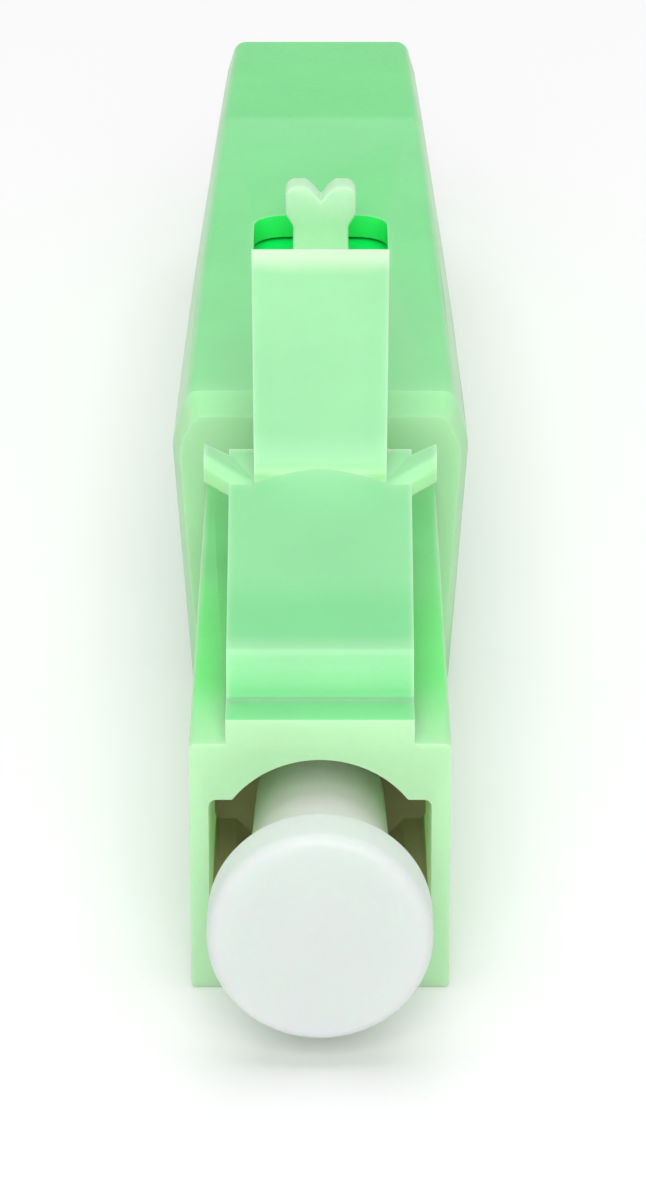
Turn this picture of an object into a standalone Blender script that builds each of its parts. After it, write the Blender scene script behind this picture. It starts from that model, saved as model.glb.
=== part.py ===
"""Field-fitted fibre-optic connector with a square latching plug and its dust cap on.

Units are metres, Z up. Every size below is in millimetres. Lengths along Y start at the plug's
front face and grow towards the cable, and heights start at the fibre's axis. The assembly empty
moves the whole so that the origin is the centre of its base.
"""

import math

import bmesh
import bpy

MM = 0.001

# Gaps
FIT = 0.05  # between two pieces that touch or slide on the real connector
LAP = 0.1  # how far a cutter or a joined shape passes the face it goes through

# Fibre and ferrule
FIBRE_RADIUS = 0.0625
FERRULE_RADIUS = 0.625
FERRULE_LENGTH = 8.0
FERRULE_REACH = 1.8  # how far the ferrule stands out of the plug's front face
FERRULE_ANGLE = math.radians(8)
FERRULE_TIP_CHAMFER = 0.15
STUB_BORE_RADIUS = 0.11
FERRULE_HOLE_GAP = 0.3  # round the ferrule in the plug's stop wall

# Plug frame
PLUG_WIDTH = 4.5
PLUG_TOP = 2.2
UNDERSIDE = 2.45
PLUG_LENGTH = 13.0
PLUG_CORNER = 0.12
PLUG_WALL = 0.45
PLUG_ROOF = 0.4
PLUG_FLOOR = 0.65
OPENING_RADIUS = 1.9
OPENING_SIDE_WALL = 0.33
OPENING_SLOT_TOP = 1.15
OPENING_DEPTH = 4.2
FERRULE_STOP_WALL = 0.6
NECK_LENGTH = 2.4
NECK_WALL = 0.2
SNAP_WINDOW_LENGTH = 1.2
SNAP_WINDOW_HEIGHT = 1.2
SNAP_WINDOW_FROM_REAR = 1.2

# Latch lever, with heights above the plug's top
LATCH_ROOT_LENGTH = 0.95
LATCH_ROOT_HEIGHT = 0.45
LATCH_HINGE_RADIUS = 0.2
LATCH_FILLET = 0.5
LATCH_HALF_FRONT = 1.62
LATCH_HALF_REAR = 1.71
LATCH_NOSE_RISE = 1.11
LATCH_FLAT_END = 3.5
LATCH_FLAT_RISE = 1.22
LATCH_STEP = 8.0
LATCH_STEP_RISE = 1.66
LATCH_THICKNESS = 0.78
LUG_HALF_SPAN = 2.17
LUG_LENGTH = 1.2
LUG_SWEEP = 0.2
LUG_RISE = 2.4
LUG_SLOPE_HEIGHT = 0.35
LUG_SLOPE_LENGTH = 0.45
LUG_CLIMB = 0.3  # how much the arm rises over the lugs' length
TAB_FRONT_RISE = 2.2
TAB_LENGTH = 5.5
TAB_END_RISE = 4.5
TAB_THICKNESS = 0.6
TAB_HALF_FRONT = 1.23
TAB_HALF_REAR = 1.34

# Ferrule flange and spring
FLANGE_HEAD_LENGTH = 1.5
FLANGE_ACROSS_FLATS = 2.9
FLANGE_TUBE_RADIUS = 0.8
TUBE_SEAT_WALL = 0.4  # between the flange's tube and the splice's lids
SPRING_WIRE = 0.28
SPRING_TURNS = 6
SPRING_RUN = 0.33  # radial room inside the coil, over the flange tube
GUIDE_TUBE_RADIUS = 0.34
GUIDE_TUBE_BORE = 0.15

# Splice unit
SPLICE_HALF_WIDTH = 1.2
SPLICE_WAIST = 0.15  # how far the base is let in under the clip
SPLICE_LENGTH = 15.7
SPLICE_HEAD_LENGTH = 2.1
SPLICE_END_LENGTH = 0.8
SPLICE_WALL = 0.15
SPLICE_WALL_TOP = 0.45
GROOVE_HALF = 0.12
BUFFER_GROOVE_HALF = 0.45
FRONT_LID_LENGTH = 6.8
REAR_LID_LENGTH = 5.6
LID_GAP = 0.3
LID_BASE = 0.2
LID_SHOULDER = 0.55
LID_RIB_HALF = 0.5
CLIP_SHEET = 0.1
CLIP_LEG = 0.45
CLIP_INSET = 0.03
CLIP_END_GAP = 0.5  # from the clip's ends to the lids' ends
FLOAT_TRAVEL = 0.5

# Lock slider
SLIDER_TRAVEL = 2.8
LID_TRAVEL = 0.12
WEDGE_TOP = 1.3  # height of the wedge plane at the gap between the two lids
SLIDER_LENGTH = 8.6
SLIDER_SKIRT = 0.3
SLIDER_PLATE = 0.4
SLIDER_OVERHANG = 0.6  # behind the splice base
SLOT_HALF = 1.45
SLOT_CORNER = 0.7
BUTTON_FROM_REAR = 2.9  # from the slider's rear end
BUTTON_LENGTH = 0.7
BUTTON_HEAD_HALF = 0.76
BUTTON_NECK_HALF = 0.6
BUTTON_NECK_RISE = 0.35
BUTTON_RISE = 1.05
BUTTON_NOTCH = 0.35
BUTTON_BEVEL = 0.15

# Core body
CORE_REACH = 2.95  # how far it goes into the plug
CORE_WALL = 0.45
CORE_FRONT_WALL = 0.8
CRADLE_WALL_TOP = 1.0
REAR_CRADLE_HALF = 1.5
REAR_CRADLE_WALL = 0.35
REAR_CRADLE_TO_SHELL_REAR = 2.95
COVER_THICKNESS = 0.4
COVER_INSET = 0.1
GUIDE_RADIUS = 1.05
GUIDE_LENGTH = 6.0
GUIDE_BORE = 0.2
GUIDE_NOSE_RADIUS = 0.55
GUIDE_NOSE_LENGTH = 0.8
TAIL_TUBE_WALL = 0.3
TAIL_TUBE_PAST_SHELL = 3.0

# Rear shell
SHELL_LENGTH = 27.4
SHELL_TOP = 3.8
SHELL_WALL = 0.5
SHELL_SIDE_WALL = 0.42
SHELL_FRONT_WALL = 0.8
SHELL_REAR_WALL = 0.7
SHELL_PAST_PLUG_BASE = 0.31  # how far each side stands out past the plug's
SHELL_PAST_PLUG_SHOULDER = 0.68
SHELL_PAST_PLUG_TOP = 0.37
SHELL_SHOULDER_DROP = 1.05
SHELL_REAR_SHARE = 0.8
SHELL_FRONT_CHAMFER = 0.4
SHELL_FRONT_SIDE_EASE = 0.15
SHELL_FRONT_BASE_EASE = 0.1
SHELL_REAR_CORNER = 0.5
SHELL_BASE_CORNER = 0.25
SHELL_ROOM_CORNER = 0.1
SHELL_SHOULDER_CORNER = 0.8
SHELL_ROOF_CORNER = 0.3
SHELL_CREASE_FROM_REAR = 8.05
SHELL_TOP_DROP = 0.25

# Cable clamp
CABLE_RADIUS = 1.03
JAW_LENGTH = 6.5
JAW_SPLIT = 0.3
JAW_WALL = 0.22
JAW_TEETH = 5
JAW_TOOTH = 0.1
NUT_LENGTH = 5.9
NUT_WALL = 0.4
NUT_RIBS = 16
NUT_RIB_HEIGHT = 0.12
NUT_END_TAPER = 0.2
NUT_CONE_LAND = 0.35
NUT_GAP_TO_SHELL = 0.2
GROMMET_LENGTH = 0.8

# Dust cap
CAP_DISC_RADIUS = 1.9
CAP_FRONT = 3.1
CAP_DISC_THICKNESS = 1.1
CAP_EDGE = 0.14
CAP_TUBE_FRONT_RADIUS = 1.28
CAP_TUBE_END_RADIUS = 1.12
CAP_TUBE_INSIDE = 2.6
CAP_TUBE_FOOT = 0.12
CAP_BORE_GAP = 0.06
CAP_BORE_PAST_FERRULE = 0.2

ROUND = 32  # sides of a round piece
FINE = 16  # sides of a thin one

# Places along Y, each worked out from the piece in front of it
stop_wall_rear = OPENING_DEPTH + FERRULE_STOP_WALL
flange_front = stop_wall_rear + FIT
flange_head_rear = flange_front + FLANGE_HEAD_LENGTH
core_front = PLUG_LENGTH - CORE_REACH
core_wall_rear = core_front + CORE_FRONT_WALL
splice_front = core_wall_rear + FIT
splice_head_rear = splice_front + SPLICE_HEAD_LENGTH
splice_rear = splice_front + SPLICE_LENGTH
flange_tube_rear = splice_head_rear - TUBE_SEAT_WALL
front_lid_front = splice_head_rear + LID_GAP
front_lid_rear = front_lid_front + FRONT_LID_LENGTH
rear_lid_front = front_lid_rear + LID_GAP
rear_lid_rear = rear_lid_front + REAR_LID_LENGTH
neck_rear = PLUG_LENGTH + NECK_LENGTH
core_block_rear = neck_rear + 3 * FIT
shell_front = PLUG_LENGTH + FIT
shell_rear = shell_front + SHELL_LENGTH
slider_rear = splice_rear + SLIDER_OVERHANG
slider_front = slider_rear - SLIDER_LENGTH
rear_cradle_front = slider_rear + FLOAT_TRAVEL + 8 * FIT
rear_cradle_rear = shell_rear - REAR_CRADLE_TO_SHELL_REAR
tail_rear = shell_rear + TAIL_TUBE_PAST_SHELL
nut_front = shell_rear + NUT_GAP_TO_SHELL
nut_rear = nut_front + NUT_LENGTH
button_rear = slider_rear - BUTTON_FROM_REAR
button_front = button_rear - BUTTON_LENGTH
slot_rear = button_rear + FLOAT_TRAVEL + 2 * FIT
slot_front = button_front - SLIDER_TRAVEL - 2 * FIT
latch_step_rear = LATCH_STEP + LUG_LENGTH
tab_end = LATCH_STEP + TAB_LENGTH

# Sections across Y, each worked out from the piece it fits
core_half = PLUG_WIDTH / 2 - PLUG_WALL - FIT
core_top = PLUG_TOP - PLUG_ROOF - FIT
core_base = UNDERSIDE - PLUG_FLOOR - FIT
cradle_inner = SPLICE_HALF_WIDTH + FIT
splice_floor = -(cradle_inner + FIT)
plate_top = SHELL_TOP - SHELL_WALL - FIT
wedge_slope = LID_TRAVEL / SLIDER_TRAVEL
jaw_radius = CABLE_RADIUS + JAW_WALL
tail_bore = jaw_radius + FIT
tail_radius = tail_bore + TAIL_TUBE_WALL
nut_bore = tail_radius + FIT
nut_radius = nut_bore + NUT_WALL
neck_half = core_half + FIT + NECK_WALL
neck_top = core_top + FIT + NECK_WALL
neck_base = core_base + FIT + NECK_WALL
shell_base_wall = UNDERSIDE - neck_base - 2 * FIT
shoulder_height = SHELL_TOP - SHELL_SHOULDER_DROP
pivot_y = LATCH_ROOT_LENGTH
pivot_z = PLUG_TOP + FIT + LATCH_HINGE_RADIUS
step_foot = PLUG_TOP + LATCH_STEP_RISE
lug_top = PLUG_TOP + LUG_RISE


def material(name, colour, roughness, metallic=0.0):
    made = bpy.data.materials.new(name)
    made.use_nodes = True
    shader = made.node_tree.nodes["Principled BSDF"]
    shader.inputs["Base Color"].default_value = (*colour, 1.0)
    shader.inputs["Roughness"].default_value = roughness
    shader.inputs["Metallic"].default_value = metallic
    made.diffuse_color = (*colour, 1.0)
    return made


def clear_scene():
    for old in list(bpy.data.objects):
        bpy.data.objects.remove(old, do_unlink=True)


def object_from(name, mesh_builder, parent, finish=None):
    """A new object whose mesh starts empty and is filled by mesh_builder."""
    shape = bmesh.new()
    mesh_builder(shape)
    bmesh.ops.recalc_face_normals(shape, faces=shape.faces)
    if shape.calc_volume(signed=True) < 0:
        bmesh.ops.reverse_faces(shape, faces=shape.faces)
    mesh = bpy.data.meshes.new(name)
    shape.to_mesh(mesh)
    shape.free()
    made = bpy.data.objects.new(name, mesh)
    bpy.context.scene.collection.objects.link(made)
    made.parent = parent
    if finish is None:  # a shape that only cuts or joins another
        made.hide_render = True
        made.display_type = "WIRE"
    else:
        mesh.materials.append(finish)
    return made


def lofted(name, loops, parent, finish=None):
    """A closed solid through loops of points that match one to one."""

    def fill(shape):
        rings = [[shape.verts.new([MM * c for c in p]) for p in loop] for loop in loops]
        for ring, after in zip(rings, rings[1:]):
            for i in range(len(ring)):
                j = (i + 1) % len(ring)
                shape.faces.new((ring[i], ring[j], after[j], after[i]))
        shape.faces.new(rings[0])
        shape.faces.new(rings[-1][::-1])

    return object_from(name, fill, parent, finish)


def along_y(name, outline, y_from, y_to, parent, finish=None):
    """An (x, z) outline carried from one place along Y to another."""
    loops = [[(x, y, z) for x, z in outline] for y in (y_from, y_to)]
    return lofted(name, loops, parent, finish)


def across_x(name, outline, half_width, parent, finish=None):
    """A (y, z) outline as wide as half_width(y) to each side."""
    loops = [[(side * half_width(y), y, z) for y, z in outline] for side in (-1, 1)]
    return lofted(name, loops, parent, finish)


def up_z(name, outline, z_from, z_to, parent, finish=None):
    """An (x, y) outline carried from one height to another."""
    loops = [[(x, y, z) for x, y in outline] for z in (z_from, z_to)]
    return lofted(name, loops, parent, finish)


def block(name, half_width, y_from, y_to, z_from, z_to, parent, finish=None):
    corners = [(-half_width, z_from), (half_width, z_from), (half_width, z_to), (-half_width, z_to)]
    return along_y(name, corners, y_from, y_to, parent, finish)


def turned(name, profile, parent, finish=None, sides=ROUND):
    """A closed (radius, y) profile turned about the fibre's axis; a radius of 0 closes on the axis."""

    def fill(shape):
        rings = []
        for radius, y in profile:
            if radius == 0:
                rings.append([shape.verts.new((0, MM * y, 0))] * sides)
                continue
            turns = [2 * math.pi * (i + 0.5) / sides for i in range(sides)]
            rings.append(
                [shape.verts.new((MM * radius * math.cos(a), MM * y, MM * radius * math.sin(a))) for a in turns]
            )
        for k, ring in enumerate(rings):
            after = rings[(k + 1) % len(rings)]
            for i in range(sides):
                j = (i + 1) % sides
                corners = list(dict.fromkeys((ring[i], ring[j], after[j], after[i])))
                if len(corners) > 2:
                    shape.faces.new(corners)

    return object_from(name, fill, parent, finish)


def rounded(corners, steps=4):
    """An outline of (a, b, radius) corners, each rounded by an arc that is tangent to both its sides."""
    outline = []
    for k, (a, b, radius) in enumerate(corners):
        if radius == 0:
            outline.append((a, b))
            continue
        before, after = corners[k - 1], corners[(k + 1) % len(corners)]
        to_before = math.atan2(before[1] - b, before[0] - a)
        to_after = math.atan2(after[1] - b, after[0] - a)
        turn = (to_after - to_before + math.pi) % (2 * math.pi) - math.pi
        middle = to_before + turn / 2
        reach = radius / abs(math.sin(turn / 2))
        centre = (a + reach * math.cos(middle), b + reach * math.sin(middle))
        sweep = math.copysign(math.pi - abs(turn), turn)
        for i in range(steps + 1):
            angle = middle + math.pi + sweep * (0.5 - i / steps)
            outline.append((centre[0] + radius * math.cos(angle), centre[1] + radius * math.sin(angle)))
    return outline


def boolean(target, operation, others):
    for other in others:
        step = target.modifiers.new(other.name, "BOOLEAN")
        step.operation = operation
        step.solver = "EXACT"
        step.object = other


def cut(target, *cutters):
    boolean(target, "DIFFERENCE", cutters)


def join(target, *others):
    boolean(target, "UNION", others)


def smooth(*pieces):
    for piece in pieces:
        piece.data.shade_smooth()
        piece.data.set_sharp_from_angle(angle=math.radians(30))


def set_origin(piece, x, y, z):
    """Moves the object's origin onto its joint's axis and leaves its shape where it is."""
    for vertex in piece.data.vertices:
        vertex.co.x -= MM * x
        vertex.co.y -= MM * y
        vertex.co.z -= MM * z
    piece.location = (MM * x, MM * y, MM * z)


def opening_outline():
    """The plug's mouth: a round bore with a flat-topped slot on each side."""
    meet = math.asin(OPENING_SLOT_TOP / OPENING_RADIUS)
    steps = 14
    arch = [meet + (math.pi - 2 * meet) * i / steps for i in range(steps + 1)]
    top = [(OPENING_RADIUS * math.cos(a), OPENING_RADIUS * math.sin(a)) for a in arch]
    slot_half = PLUG_WIDTH / 2 - OPENING_SIDE_WALL
    left = [(-slot_half, OPENING_SLOT_TOP), (-slot_half, -OPENING_SLOT_TOP)]
    bottom = [(-x, -z) for x, z in top]
    right = [(-x, -z) for x, z in left]
    return top + left + bottom + right


def build_plug_frame(parent, finish):
    half = PLUG_WIDTH / 2
    r = PLUG_CORNER
    section = rounded(
        [(-half, -UNDERSIDE, r), (half, -UNDERSIDE, r), (half, PLUG_TOP, r), (-half, PLUG_TOP, r)]
    )
    frame = along_y("plug_frame", section, 0, PLUG_LENGTH, parent, finish)
    neck = block("neck", neck_half, PLUG_LENGTH - LAP, neck_rear, -neck_base, neck_top, parent)
    root = block(
        "latch_root", LATCH_HALF_FRONT, 0, LATCH_ROOT_LENGTH,
        PLUG_TOP - LAP, PLUG_TOP + LATCH_ROOT_HEIGHT, parent,
    )
    mouth = along_y("mouth", opening_outline(), -LAP, OPENING_DEPTH, parent)
    hole = FERRULE_RADIUS + FERRULE_HOLE_GAP
    ferrule_hole = turned(
        "ferrule_hole",
        [(0, OPENING_DEPTH - LAP), (hole, OPENING_DEPTH - LAP), (hole, stop_wall_rear + LAP),
         (0, stop_wall_rear + LAP)],
        parent,
    )
    rear_room = block(
        "rear_room", core_half + FIT, stop_wall_rear, neck_rear + LAP, -core_base - FIT, core_top + FIT, parent
    )
    window_rear = PLUG_LENGTH - SNAP_WINDOW_FROM_REAR
    windows = block(
        "snap_windows", half + LAP, window_rear - SNAP_WINDOW_LENGTH, window_rear,
        -SNAP_WINDOW_HEIGHT / 2, SNAP_WINDOW_HEIGHT / 2, parent,
    )
    seat_radius = LATCH_HINGE_RADIUS + FIT
    seat = across_x(
        "hinge_seat",
        [(pivot_y + seat_radius * math.cos(a), pivot_z + seat_radius * math.sin(a))
         for a in (2 * math.pi * i / ROUND for i in range(ROUND))],
        lambda y: LATCH_HALF_FRONT + LAP,
        parent,
    )
    behind = block(
        "hinge_clearance", LATCH_HALF_FRONT + LAP, pivot_y, pivot_y + 2 * LAP,
        PLUG_TOP, PLUG_TOP + LATCH_ROOT_HEIGHT + LAP, parent,
    )
    join(frame, neck, root)
    cut(frame, mouth, ferrule_hole, rear_room, windows, seat, behind)


def build_latch(parent, finish):
    """One moulded lever: hinge bead, nose, arm, two locking lugs and the thumb tab."""
    fillet = LATCH_FILLET
    fillet_z = pivot_z + LATCH_HINGE_RADIUS + fillet
    flat_top = PLUG_TOP + LATCH_FLAT_RISE
    curve = [-math.pi / 2 + math.pi / 2 * i / 6 for i in range(7)]
    nose = [(pivot_y + fillet * math.cos(a), fillet_z + fillet * math.sin(a)) for a in curve]
    nose_rear = pivot_y + fillet + LAP
    outline = nose + [
        (nose_rear, PLUG_TOP + LATCH_NOSE_RISE),
        (LATCH_FLAT_END, flat_top),
        (LATCH_STEP, step_foot),
        (latch_step_rear, step_foot + LUG_CLIMB),
        (latch_step_rear, step_foot + LUG_CLIMB - LATCH_THICKNESS),
        (LATCH_STEP, step_foot - LATCH_THICKNESS),
        (LATCH_FLAT_END, flat_top - LATCH_THICKNESS),
        (nose_rear, pivot_z + FIT),
        (pivot_y, pivot_z - LATCH_HINGE_RADIUS),
    ]

    def arm_half(y):
        share = (y - pivot_y) / (latch_step_rear - pivot_y)
        return LATCH_HALF_FRONT + (LATCH_HALF_REAR - LATCH_HALF_FRONT) * share

    lever = across_x("latch_lever", outline, arm_half, parent, finish)
    bead = across_x(
        "hinge_bead",
        [(pivot_y + LATCH_HINGE_RADIUS * math.cos(a), pivot_z + LATCH_HINGE_RADIUS * math.sin(a))
         for a in (2 * math.pi * (i + 0.5) / ROUND for i in range(ROUND))],
        lambda y: LATCH_HALF_FRONT,
        parent,
    )
    lugs = up_z(
        "lugs",
        [(-LUG_HALF_SPAN, LATCH_STEP + LUG_SWEEP), (-LATCH_HALF_REAR + LAP, LATCH_STEP),
         (LATCH_HALF_REAR - LAP, LATCH_STEP), (LUG_HALF_SPAN, LATCH_STEP + LUG_SWEEP),
         (LUG_HALF_SPAN, latch_step_rear), (-LUG_HALF_SPAN, latch_step_rear)],
        step_foot - LATCH_THICKNESS / 2, lug_top, parent,
    )

    def tab_top(y):
        return PLUG_TOP + TAB_FRONT_RISE + (TAB_END_RISE - TAB_FRONT_RISE) * (y - LATCH_STEP) / TAB_LENGTH

    tab_outline = [
        (LATCH_STEP + LAP, step_foot - LAP),
        (LATCH_STEP + LAP, tab_top(LATCH_STEP + LAP)),
        (tab_end, tab_top(tab_end)),
        (tab_end, tab_top(tab_end) - TAB_THICKNESS),
        (latch_step_rear, tab_top(latch_step_rear) - TAB_THICKNESS),
        (latch_step_rear - LAP, step_foot - LAP),
    ]

    def tab_half(y):
        share = (y - LATCH_STEP) / TAB_LENGTH
        return TAB_HALF_FRONT + (TAB_HALF_REAR - TAB_HALF_FRONT) * share

    tab = across_x("thumb_tab", tab_outline, tab_half, parent)
    trim = across_x(
        "lug_slope",
        [(LATCH_STEP - LAP, lug_top - LUG_SLOPE_HEIGHT), (LATCH_STEP - LAP, lug_top + LAP),
         (LATCH_STEP + LUG_SLOPE_LENGTH, lug_top + LAP), (LATCH_STEP + LUG_SWEEP, lug_top - LUG_SLOPE_HEIGHT)],
        lambda y: LUG_HALF_SPAN + LAP,
        parent,
    )
    cut(lugs, trim)
    join(lever, bead, lugs, tab)
    set_origin(lever, 0, pivot_y, pivot_z)


def build_ferrule(parent, ceramic, glass):
    front = -FERRULE_REACH
    rear = front + FERRULE_LENGTH
    ferrule = turned(
        "ferrule",
        [(STUB_BORE_RADIUS, front), (FERRULE_RADIUS - FERRULE_TIP_CHAMFER, front),
         (FERRULE_RADIUS, front + 2 * FERRULE_TIP_CHAMFER), (FERRULE_RADIUS, rear), (STUB_BORE_RADIUS, rear)],
        parent, ceramic,
    )
    slope = math.tan(FERRULE_ANGLE)
    face = across_x(
        "angled_polish",
        [(front - 1, -1), (front + slope * -1, -1), (front + slope, 1), (front - 1, 1)],
        lambda y: 1,
        parent,
    )
    cut(ferrule, face)
    stub_rear = front_lid_front + FRONT_LID_LENGTH / 2
    stub_front = front + slope * FIBRE_RADIUS
    stub = turned(
        "fibre_stub",
        [(0, stub_front), (FIBRE_RADIUS, stub_front), (FIBRE_RADIUS, stub_rear), (0, stub_rear)],
        parent, glass, FINE,
    )
    smooth(ferrule, stub)
    return rear


def build_flange(parent, steel, tube_plastic, ferrule_rear):
    """The metal holder pressed on the ferrule, and the plastic tube that lines it round the fibre."""
    socket = FERRULE_RADIUS + FIT
    bore = GUIDE_TUBE_RADIUS + FIT
    socket_end = min(ferrule_rear + FIT, flange_tube_rear - 1)
    flange = turned(
        "ferrule_flange",
        [(socket, flange_front), (FLANGE_TUBE_RADIUS, flange_front), (FLANGE_TUBE_RADIUS, flange_tube_rear),
         (bore, flange_tube_rear), (bore, socket_end), (socket, socket_end)],
        parent, steel,
    )
    corner = FLANGE_ACROSS_FLATS / 2 / math.cos(math.pi / 6)
    hexagon = [(corner * math.cos(math.pi / 3 * i), corner * math.sin(math.pi / 3 * i)) for i in range(6)]
    head = along_y("flange_hexagon", hexagon, flange_front, flange_head_rear, parent)
    head_bore = turned(
        "flange_head_bore",
        [(0, flange_front - LAP), (socket, flange_front - LAP), (socket, socket_end), (0, socket_end)],
        parent,
    )
    through = turned(
        "flange_through_bore",
        [(0, flange_front), (bore, flange_front), (bore, flange_head_rear + LAP), (0, flange_head_rear + LAP)],
        parent,
    )
    join(flange, head)
    cut(flange, head_bore, through)
    tube_front = socket_end + FIT
    turned(
        "stub_guide_tube",
        [(GUIDE_TUBE_BORE, tube_front), (GUIDE_TUBE_RADIUS, tube_front),
         (GUIDE_TUBE_RADIUS, flange_tube_rear), (GUIDE_TUBE_BORE, flange_tube_rear)],
        parent, tube_plastic, FINE,
    )
    smooth(flange)


def build_spring(parent, steel):
    """A compression coil between the flange head and the core body's front wall, with closed ends."""
    wire = SPRING_WIRE / 2
    coil = FLANGE_TUBE_RADIUS + SPRING_RUN + wire
    front = flange_head_rear + FIT + wire
    length = core_front - 2 * FIT - wire - front
    per_turn, around = 14, 6
    steps = SPRING_TURNS * per_turn

    def centre(i):
        share = i / steps
        angle = 2 * math.pi * SPRING_TURNS * share
        return (coil * math.cos(angle), front + length * share, coil * math.sin(angle)), angle

    loops = []
    for i in range(steps + 1):
        (x, y, z), angle = centre(i)
        ring = []
        for k in range(around):
            turn = 2 * math.pi * k / around
            out, on = wire * math.cos(turn), wire * math.sin(turn)
            ring.append((x + out * math.cos(angle), y + on, z + out * math.sin(angle)))
        loops.append(ring)
    smooth(lofted("ferrule_spring", loops, parent, steel))


def wedge_height(y):
    """Height of the plane where the slider's wedge bears on the lids' ribs, with the slider at the rear."""
    middle = (front_lid_rear + rear_lid_front) / 2
    return WEDGE_TOP - wedge_slope * (y - middle)


def build_splice(parent, plastic, clear, steel):
    waist = SPLICE_HALF_WIDTH - SPLICE_WAIST
    base = block(
        "splice_base", SPLICE_HALF_WIDTH, splice_front, splice_head_rear, -SPLICE_HALF_WIDTH, SPLICE_HALF_WIDTH,
        parent, plastic,
    )
    trough = block("splice_trough", waist, splice_head_rear - LAP, splice_rear, -waist, SPLICE_WALL_TOP, parent)
    end = block(
        "splice_end", SPLICE_HALF_WIDTH, splice_rear - SPLICE_END_LENGTH, splice_rear,
        -SPLICE_HALF_WIDTH, SPLICE_WALL_TOP, parent,
    )
    inside = block("lid_room", waist - SPLICE_WALL, splice_head_rear, splice_rear + LAP, 0, 1, parent)
    tube_bore = turned(
        "tube_bore",
        [(0, splice_front - LAP), (FLANGE_TUBE_RADIUS + FIT, splice_front - LAP),
         (FLANGE_TUBE_RADIUS + FIT, flange_tube_rear + FIT), (0, flange_tube_rear + FIT)],
        parent,
    )
    stub_hole = turned(
        "stub_hole",
        [(0, flange_tube_rear), (STUB_BORE_RADIUS, flange_tube_rear),
         (STUB_BORE_RADIUS, splice_head_rear + LAP), (0, splice_head_rear + LAP)],
        parent, sides=FINE,
    )
    top = 0.06  # the cutter's flank carries on a little above the floor
    fibre_groove = along_y(
        "fibre_groove", [(-GROOVE_HALF - top, top), (0, -GROOVE_HALF), (GROOVE_HALF + top, top)],
        splice_head_rear - LAP, splice_rear + LAP, parent,
    )
    buffer_groove = along_y(
        "buffer_groove",
        [(-BUFFER_GROOVE_HALF - top, top), (0, -BUFFER_GROOVE_HALF), (BUFFER_GROOVE_HALF + top, top)],
        rear_lid_front, splice_rear + 2 * LAP, parent,
    )
    join(base, trough, end)
    cut(base, inside, tube_bore, stub_hole, fibre_groove, buffer_groove)

    lid_half = waist - SPLICE_WALL - FIT
    rib_limit = slider_front - SLIDER_TRAVEL
    for name, front, rear in (
        ("splice_lid_front", front_lid_front, front_lid_rear),
        ("splice_lid_rear", rear_lid_front, rear_lid_rear),
    ):
        lid = block(name, lid_half, front, rear, LID_BASE, LID_SHOULDER, parent, clear)
        rib_front = max(front, rib_limit)
        rib = across_x(
            name + "_rib",
            [(rib_front, LID_SHOULDER - LAP), (rib_front, wedge_height(rib_front) - FIT),
             (rear, wedge_height(rear) - FIT), (rear, LID_SHOULDER - LAP)],
            lambda y: LID_RIB_HALF,
            parent,
        )
        join(lid, rib)

    outer = SPLICE_HALF_WIDTH - CLIP_INSET
    inner = outer - CLIP_SHEET
    leg_under = LID_SHOULDER + FIT
    leg_top = leg_under + CLIP_SHEET
    tip = outer - CLIP_LEG
    section = [
        (-tip, leg_under), (-inner, leg_under), (-inner, -inner), (inner, -inner), (inner, leg_under),
        (tip, leg_under), (tip, leg_top), (outer, leg_top), (outer, -outer), (-outer, -outer),
        (-outer, leg_top), (-tip, leg_top),
    ]
    clip_front = front_lid_front + CLIP_END_GAP
    clip_rear = min(rear_lid_rear, splice_rear - SPLICE_END_LENGTH) - CLIP_END_GAP
    clip = along_y("splice_clip", section, clip_front, clip_rear, parent, steel)
    relief = block("clip_relief", outer + LAP, front_lid_rear, rear_lid_front, 0, leg_top + LAP, parent)
    cut(clip, relief)


def build_slider(parent, finish):
    """The lock slider: a saddle under the shell's roof, its wedge on the lids, and its thumb button."""
    outer = cradle_inner + CORE_WALL - FIT
    inner = outer - SLIDER_SKIRT
    foot = CRADLE_WALL_TOP + FIT
    ceiling = plate_top - SLIDER_PLATE
    saddle = along_y(
        "lock_slider",
        [(-outer, foot), (-inner, foot), (-inner, ceiling), (inner, ceiling), (inner, foot), (outer, foot),
         (outer, plate_top), (-outer, plate_top)],
        slider_front, slider_rear, parent, finish,
    )
    wedge = across_x(
        "wedge",
        [(slider_front, wedge_height(slider_front)), (slider_rear, wedge_height(slider_rear)),
         (slider_rear, ceiling + LAP), (slider_front, ceiling + LAP)],
        lambda y: LID_RIB_HALF,
        parent,
    )
    head, neck, bevel = BUTTON_HEAD_HALF, BUTTON_NECK_HALF, BUTTON_BEVEL
    neck_end, top = SHELL_TOP + BUTTON_NECK_RISE, SHELL_TOP + BUTTON_RISE
    lobe = [
        (neck, plate_top - LAP), (neck, neck_end - bevel), (head, neck_end), (head, top - bevel),
        (head - bevel, top), (head * 0.45, top),
    ]
    mirrored = [(-x, z) for x, z in reversed(lobe)]
    button = along_y(
        "thumb_button", lobe + [(0, top - BUTTON_NOTCH)] + mirrored, button_front, button_rear, parent
    )
    join(saddle, wedge, button)


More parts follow.
